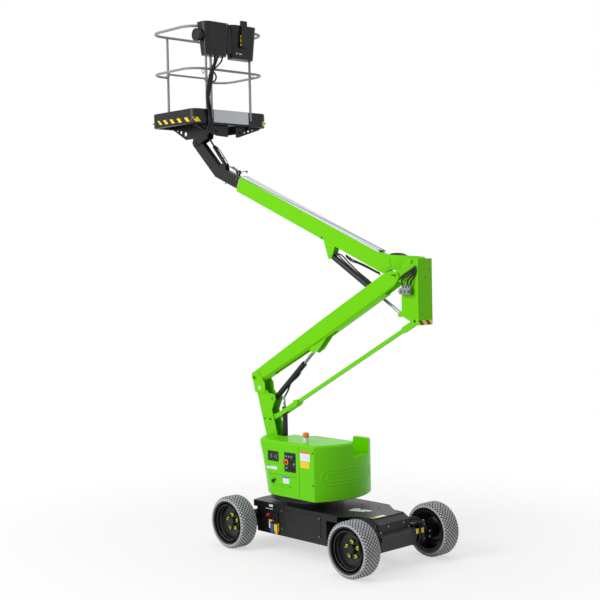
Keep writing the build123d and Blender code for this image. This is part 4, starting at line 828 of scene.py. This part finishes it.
# The lift cylinder's hose bends between the turret and the barrel.
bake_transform(hoses("lift_hose", [
    [(-705, -42, 1742), (-678, -40, 1776), (-650, -38, 1816), (-628, -38, 1860), (-596, -38, 1906),
     (-530, -40, 1952), (-470, -42, 1992), (-424, -44, 2036)],
], 10.0, hose_black, None))
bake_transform(hoses("lift_hose_end", [
    [(-700, -50, 1662), (-706, -48, 1688), (-717, -45, 1714), (-706, -42, 1744)],
], 12.5, bolt_zinc, None))
studs("lift_port", [(-418, -46, 2042, 0.45, 0, 0.9, 12.0, 34.0), (-412, -46, 2080, -0.6, 0, 0.4, 13.0, 30.0)],
      bolt_zinc, "lift_barrel", sides=12)
# Hoses from the valve block on the upright to the upper boom, and the bundle over its rear end.
hoses("upright_hoses", [
    [(1236, -128, 3128), (1290, -140, 3162), (1360, -138, 3198), (1424, -128, 3232), (1462, -108, 3262)],
    [(1238, -112, 3150), (1296, -122, 3182), (1364, -120, 3216), (1422, -112, 3250), (1458, -100, 3282)],
    [(1272, -120, 3062), (1262, -126, 3100), (1290, -132, 3140), (1366, -130, 3176), (1436, -116, 3222)],
    [(1344, -122, 3062), (1352, -132, 3110), (1404, -134, 3160), (1440, -124, 3200), (1462, -106, 3240)],
    [(1380, -122, 3058), (1392, -134, 3096), (1424, -132, 3140), (1452, -118, 3190), (1464, -104, 3226)],
], 9.0, hose_black, "upright")
hoses("boom_loop", [
    [(928, y, z - 34), (942, y, z - 8), (984, y, z), (1064, y, z), (1124, y, z - 12), (1166, y, z - 36),
     (1184, y, z - 54)]
    for y, z in ((36, 3394), (58, 3400), (80, 3400), (98, 3392), (46, 3376), (70, 3378))
], 10.5, hose_black, "upper_boom")
studs("boom_rear_bolts", [
    (1208, 26, 3326, 0, -1, 0, 10.0, 7.0), (814, 22, 3178, 0, -1, 0, 9.0, 6.0),
    (974, 22, 3160, 0, -1, 0, 8.0, 6.0), (369, 22, 3366, 0, -1, 0, 7.0, 5.0),
], bolt_dark, "upper_boom", sides=14)
# The upper boom's cylinder: X and Z of its pins, the line along it and the line off to its upper side.
tilt_base = np.array([34.1, 3393.4])
tilt_eye = np.array([1095.0, 2745.0])
tilt_run = (tilt_eye - tilt_base) / np.linalg.norm(tilt_eye - tilt_base)
tilt_off = np.array([-tilt_run[1], tilt_run[0]])
tilt_up = (tilt_off[0], 0, tilt_off[1])


def by_tilt(along, aside, y):
    """Place by the upper boom's cylinder: along it from its base pin, and off to its upper side."""
    place = tilt_base + along * tilt_run + aside * tilt_off
    return (place[0], y, place[1])


hoses("tilt_hoses", [
    [by_tilt(30, 46, 52), by_tilt(90, 62, 50), by_tilt(200, 52, 50), by_tilt(420, 44, 50),
     by_tilt(600, 46, 52), by_tilt(700, 40, 56)],
    [by_tilt(40, 54, 74), by_tilt(120, 76, 76), by_tilt(260, 62, 76), by_tilt(440, 50, 74),
     by_tilt(640, 52, 70), by_tilt(738, 40, 66)],
], 8.0, hose_black, "tilt_barrel")
studs("tilt_ports", [
    (*by_tilt(18, 30, 52), *tilt_up, 12.0, 22.0),
    (*by_tilt(48, 30, 76), *tilt_up, 12.0, 24.0),
    (*by_tilt(706, 30, 60), *tilt_up, 12.0, 18.0),
    (*by_tilt(744, 30, 66), *tilt_up, 12.0, 18.0),
], bolt_zinc, "tilt_barrel", sides=12)
hoses("boom_belly_hose", [
    [(250, 70, 3398), (330, 72, 3352), (430, 72, 3318), (560, 70, 3274), (690, 70, 3220), (760, 70, 3196)],
    [(262, 54, 3384), (350, 54, 3330), (450, 56, 3304), (580, 56, 3258), (700, 56, 3212), (770, 56, 3186)],
], 8.5, hose_black, "upper_boom")
studs("gland_nuts", [(*by_tilt(752, 0, 64), tilt_run[0], 0, tilt_run[1], 35.5, 24.0)],
      bolt_dark, "tilt_barrel", sides=24)
# The levelling cylinder, in the same way.
level_base = np.array([-1851.1, 4560.1])
level_eye = np.array([-2213.9, 4979.0])
level_run = (level_eye - level_base) / np.linalg.norm(level_eye - level_base)
level_off = np.array([level_run[1], -level_run[0]])
level_up = (level_off[0], 0, level_off[1])


def by_level(along, aside, y):
    """Place by the levelling cylinder: along it from its base pin, and off to its upper side."""
    place = level_base + along * level_run + aside * level_off
    return (place[0], y, place[1])


hoses("level_hoses", [
    [by_level(300, 20, 52), by_level(230, 30, 50), by_level(140, 31, 48), by_level(60, 31, 48),
     by_level(16, 38, 50)],
    [by_level(312, 18, 88), by_level(230, 29, 90), by_level(140, 31, 92), by_level(60, 31, 92),
     by_level(20, 38, 88)],
], 5.5, hose_black, "level_barrel")
studs("level_ports", [
    (*by_level(70, 20, 56), *level_up, 10.0, 20.0),
    (*by_level(104, 20, 84), *level_up, 10.0, 18.0),
], bolt_zinc, "level_barrel", sides=14)
hoses("nose_hoses", [
    [(-1742, 50, 4534), (-1690, 50, 4508), (-1620, 52, 4470), (-1560, 56, 4438)],
    [(-1738, 90, 4532), (-1686, 90, 4506), (-1616, 88, 4468), (-1560, 84, 4438)],
], 7.0, hose_black, "nose")
studs("nose_stud", [(-1810, 34, 4326, 0, -1, 0, 9.0, 9.0)], bolt_dark, "nose", sides=14)
# Bracket and caps at the boom's mouth, the cover's lower seam and the bolt through its ear.
slabs("mouth_bracket", [
    (-1549, 44, 4436, 0.2, 0, 1, -1, 0, 0.2, 76, 9, 24), (-1482, 44, 4452, 1, 0, 0, 0, 0, 1, 140, 8, 10),
    (-1412, 44, 4446, 1, 0, 0, 0, 0, 1, 12, 28, 14), (-1596, 44, 4440, 0.55, 0, -1, 1, 0, 0.55, 62, 8, 24),
], bolt_dark, "upper_boom")
studs("mouth_caps", [
    (-1584, 21, 4366, 0, -1, 0, 7.0, 5.0), (-1600, 21, 4268, 0, -1, 0, 7.0, 5.0),
], label_orange, "upper_boom", sides=12)
slabs("cover_seam", [(-312, 20.6, 3915, 2456, 0, -966, 966, 0, 2456, 2640, 5, 1.2)], bolt_dark, "upper_boom")
studs("ear_bolt", [(-92, 22, 3604, 0, -1, 0, 10.0, 8.0)], bolt_dark, "upper_boom", sides=14)

# ---------------------------------------------------------------- cage
# Black underframe and toe mouldings, a tread plate floor and grey tube rails, with a moulded
# cover over the controls.

moulding = paint("moulding_black", srgb(17, 19, 22), srgb(12, 13, 16), rough=0.34, coat=0.05, dust=0.03,
                 peel=0.12)
dress(moulding, "toe_mouldings", "console_box", "cage_hoses")
toe_y = -588.0


def corner_band(name, rows, radius, material, body, thick=1.4, steps=14, levels=6):
    """Bands on rounded upright corners: point = axis + (radius + thick * c) * (cos t, sin t), where
    t runs across the width and leans with the height."""
    points = []
    faces = []
    cell = np.arange(steps * levels * 2).reshape(steps, levels, 2)
    rim = np.concatenate([cell[:-1, 0], cell[-1, :-1], cell[:0:-1, -1], cell[0, :0:-1]])
    ahead = np.roll(rim, -1, axis=0)
    for at_x, at_y, at_z, degrees, width, height, lean in rows:
        across, up, out = np.meshgrid(np.linspace(-0.5, 0.5, steps), np.linspace(-0.5, 0.5, levels),
                                      [0.0, 1.0], indexing="ij")
        t = np.radians(degrees) + (across * width + up * lean) / radius
        reach = radius - 0.8 + (thick + 0.8) * out
        start = len(points) * cell.size
        points.append(np.stack([at_x + reach * np.cos(t), at_y + reach * np.sin(t), at_z + up * height],
                               axis=-1).reshape(-1, 3))
        skin = [cell[:-1, :-1], cell[1:, :-1], cell[1:, 1:], cell[:-1, 1:]]
        outer = np.stack([corner[..., 1] for corner in skin], axis=-1).reshape(-1, 4)
        inner = np.stack([corner[..., 0] for corner in skin[::-1]], axis=-1).reshape(-1, 4)
        edge = np.stack([ahead[:, 1], rim[:, 1], rim[:, 0], ahead[:, 0]], axis=-1)
        faces += (np.concatenate([outer, inner, edge]) + start).tolist()
    return place_mesh(name, np.concatenate(points), faces, material, body)


slabs("toe_stripes", [
    (x, toe_y - 0.4, 5074 - (x + 1580) * 0.022, 1, 0, 0, -1, 0, 1, wide, 76, 1.2)
    for x, wide in ((-1768, 62), (-1921, 60), (-2063, 58), (-2197, 56), (-2318, 44))
], label_yellow, "cage")
# corner's axis, middle height, angle, width, height, lean
corner_band("toe_corner_marks", [
    (-1722.0, -493.0, 5074, -29.0, 72.0, 54.0, -40.0), (-1722.0, 493.0, 5080, 16.0, 36.0, 58.0, 0.0),
], 95.0, label_yellow, "cage")
slabs("console_marks", [
    (-1475, 47.4, 6003, 1, 0, 0.3, 0, 0, 1, 18, 26, 1.0),
    (-1475, 47.4, 6055, 1, 0, 0.3, 0, 0, 1, 18, 42, 1.0),
    (-1475, 47.4, 6106, 1, 0, 0.3, 0, 0, 1, 18, 30, 1.0),
    (-1478, -20, 5890, 0, 1, 0.5, 0, -0.5, 1, 26, 16, 2.0),
], label_yellow, "cage")
slabs("console_notes", [
    (-1512, 66, 5896, 0, 1, 0, 0.1, 0, 1, 46, 14, 2.0),
    (-1482, -167, 6229, 0, 1, 0, 0.1, 0, 1, 12, 12, 3.0),
], label_white, "cage")
rail_grey = paint("rail_grey", srgb(142, 146, 150), srgb(124, 128, 133), rough=0.38, coat=0.1, dust=0.05)
# Hoses from the console down past the mid rail, one with a loop, and the rings on that rail.
rail_x = -1597.0
hoses("cage_loom", [
    [(-1560, -182, 5850), (-1566, -196, 5790), (-1584, -262, 5716), (rail_x, -338, 5640),
     (rail_x, -386, 5520), (rail_x, -410, 5380), (rail_x, -402, 5240), (rail_x, -372, 5120),
     (rail_x, -362, 5010), (-1650, -340, 4950)],
    [(-1556, -250, 5850), (rail_x, -300, 5740), (rail_x, -352, 5610), (rail_x, -392, 5470),
     (rail_x, -384, 5350), (rail_x, -356, 5230), (rail_x, -344, 5120), (rail_x, -338, 5010),
     (-1650, -320, 4950)],
    [(rail_x, -372, 5560), (rail_x, -330, 5536), (rail_x, -278, 5552), (rail_x, -258, 5604),
     (rail_x, -290, 5652), (rail_x, -340, 5648), (rail_x, -368, 5600)],
], 10.0, hose_black, "cage")
eye_x = -1633.0
hoses("rail_eyes", [
    [(eye_x, y - 17, 5686), (eye_x + 8, y - 18, 5658), (eye_x + 14, y - 12, 5636), (eye_x + 16, y, 5626),
     (eye_x + 14, y + 12, 5636), (eye_x + 8, y + 18, 5658), (eye_x, y + 17, 5686)]
    for y in (-437.0, 345.0)
], 5.0, rail_grey, "cage")
dress(panel_black, "cage_frame")
tread_plate = paint("tread_plate", srgb(170, 172, 174), srgb(150, 152, 155), rough=0.4, metal=0.8, dust=0.1)
dress(tread_plate, "cage_floor")
dress(paint("panel_pale", srgb(206, 209, 215), srgb(192, 195, 202), rough=0.45, dust=0.08), "toe_panel")
dress(rail_grey, "cage_rails", "drop_bar")
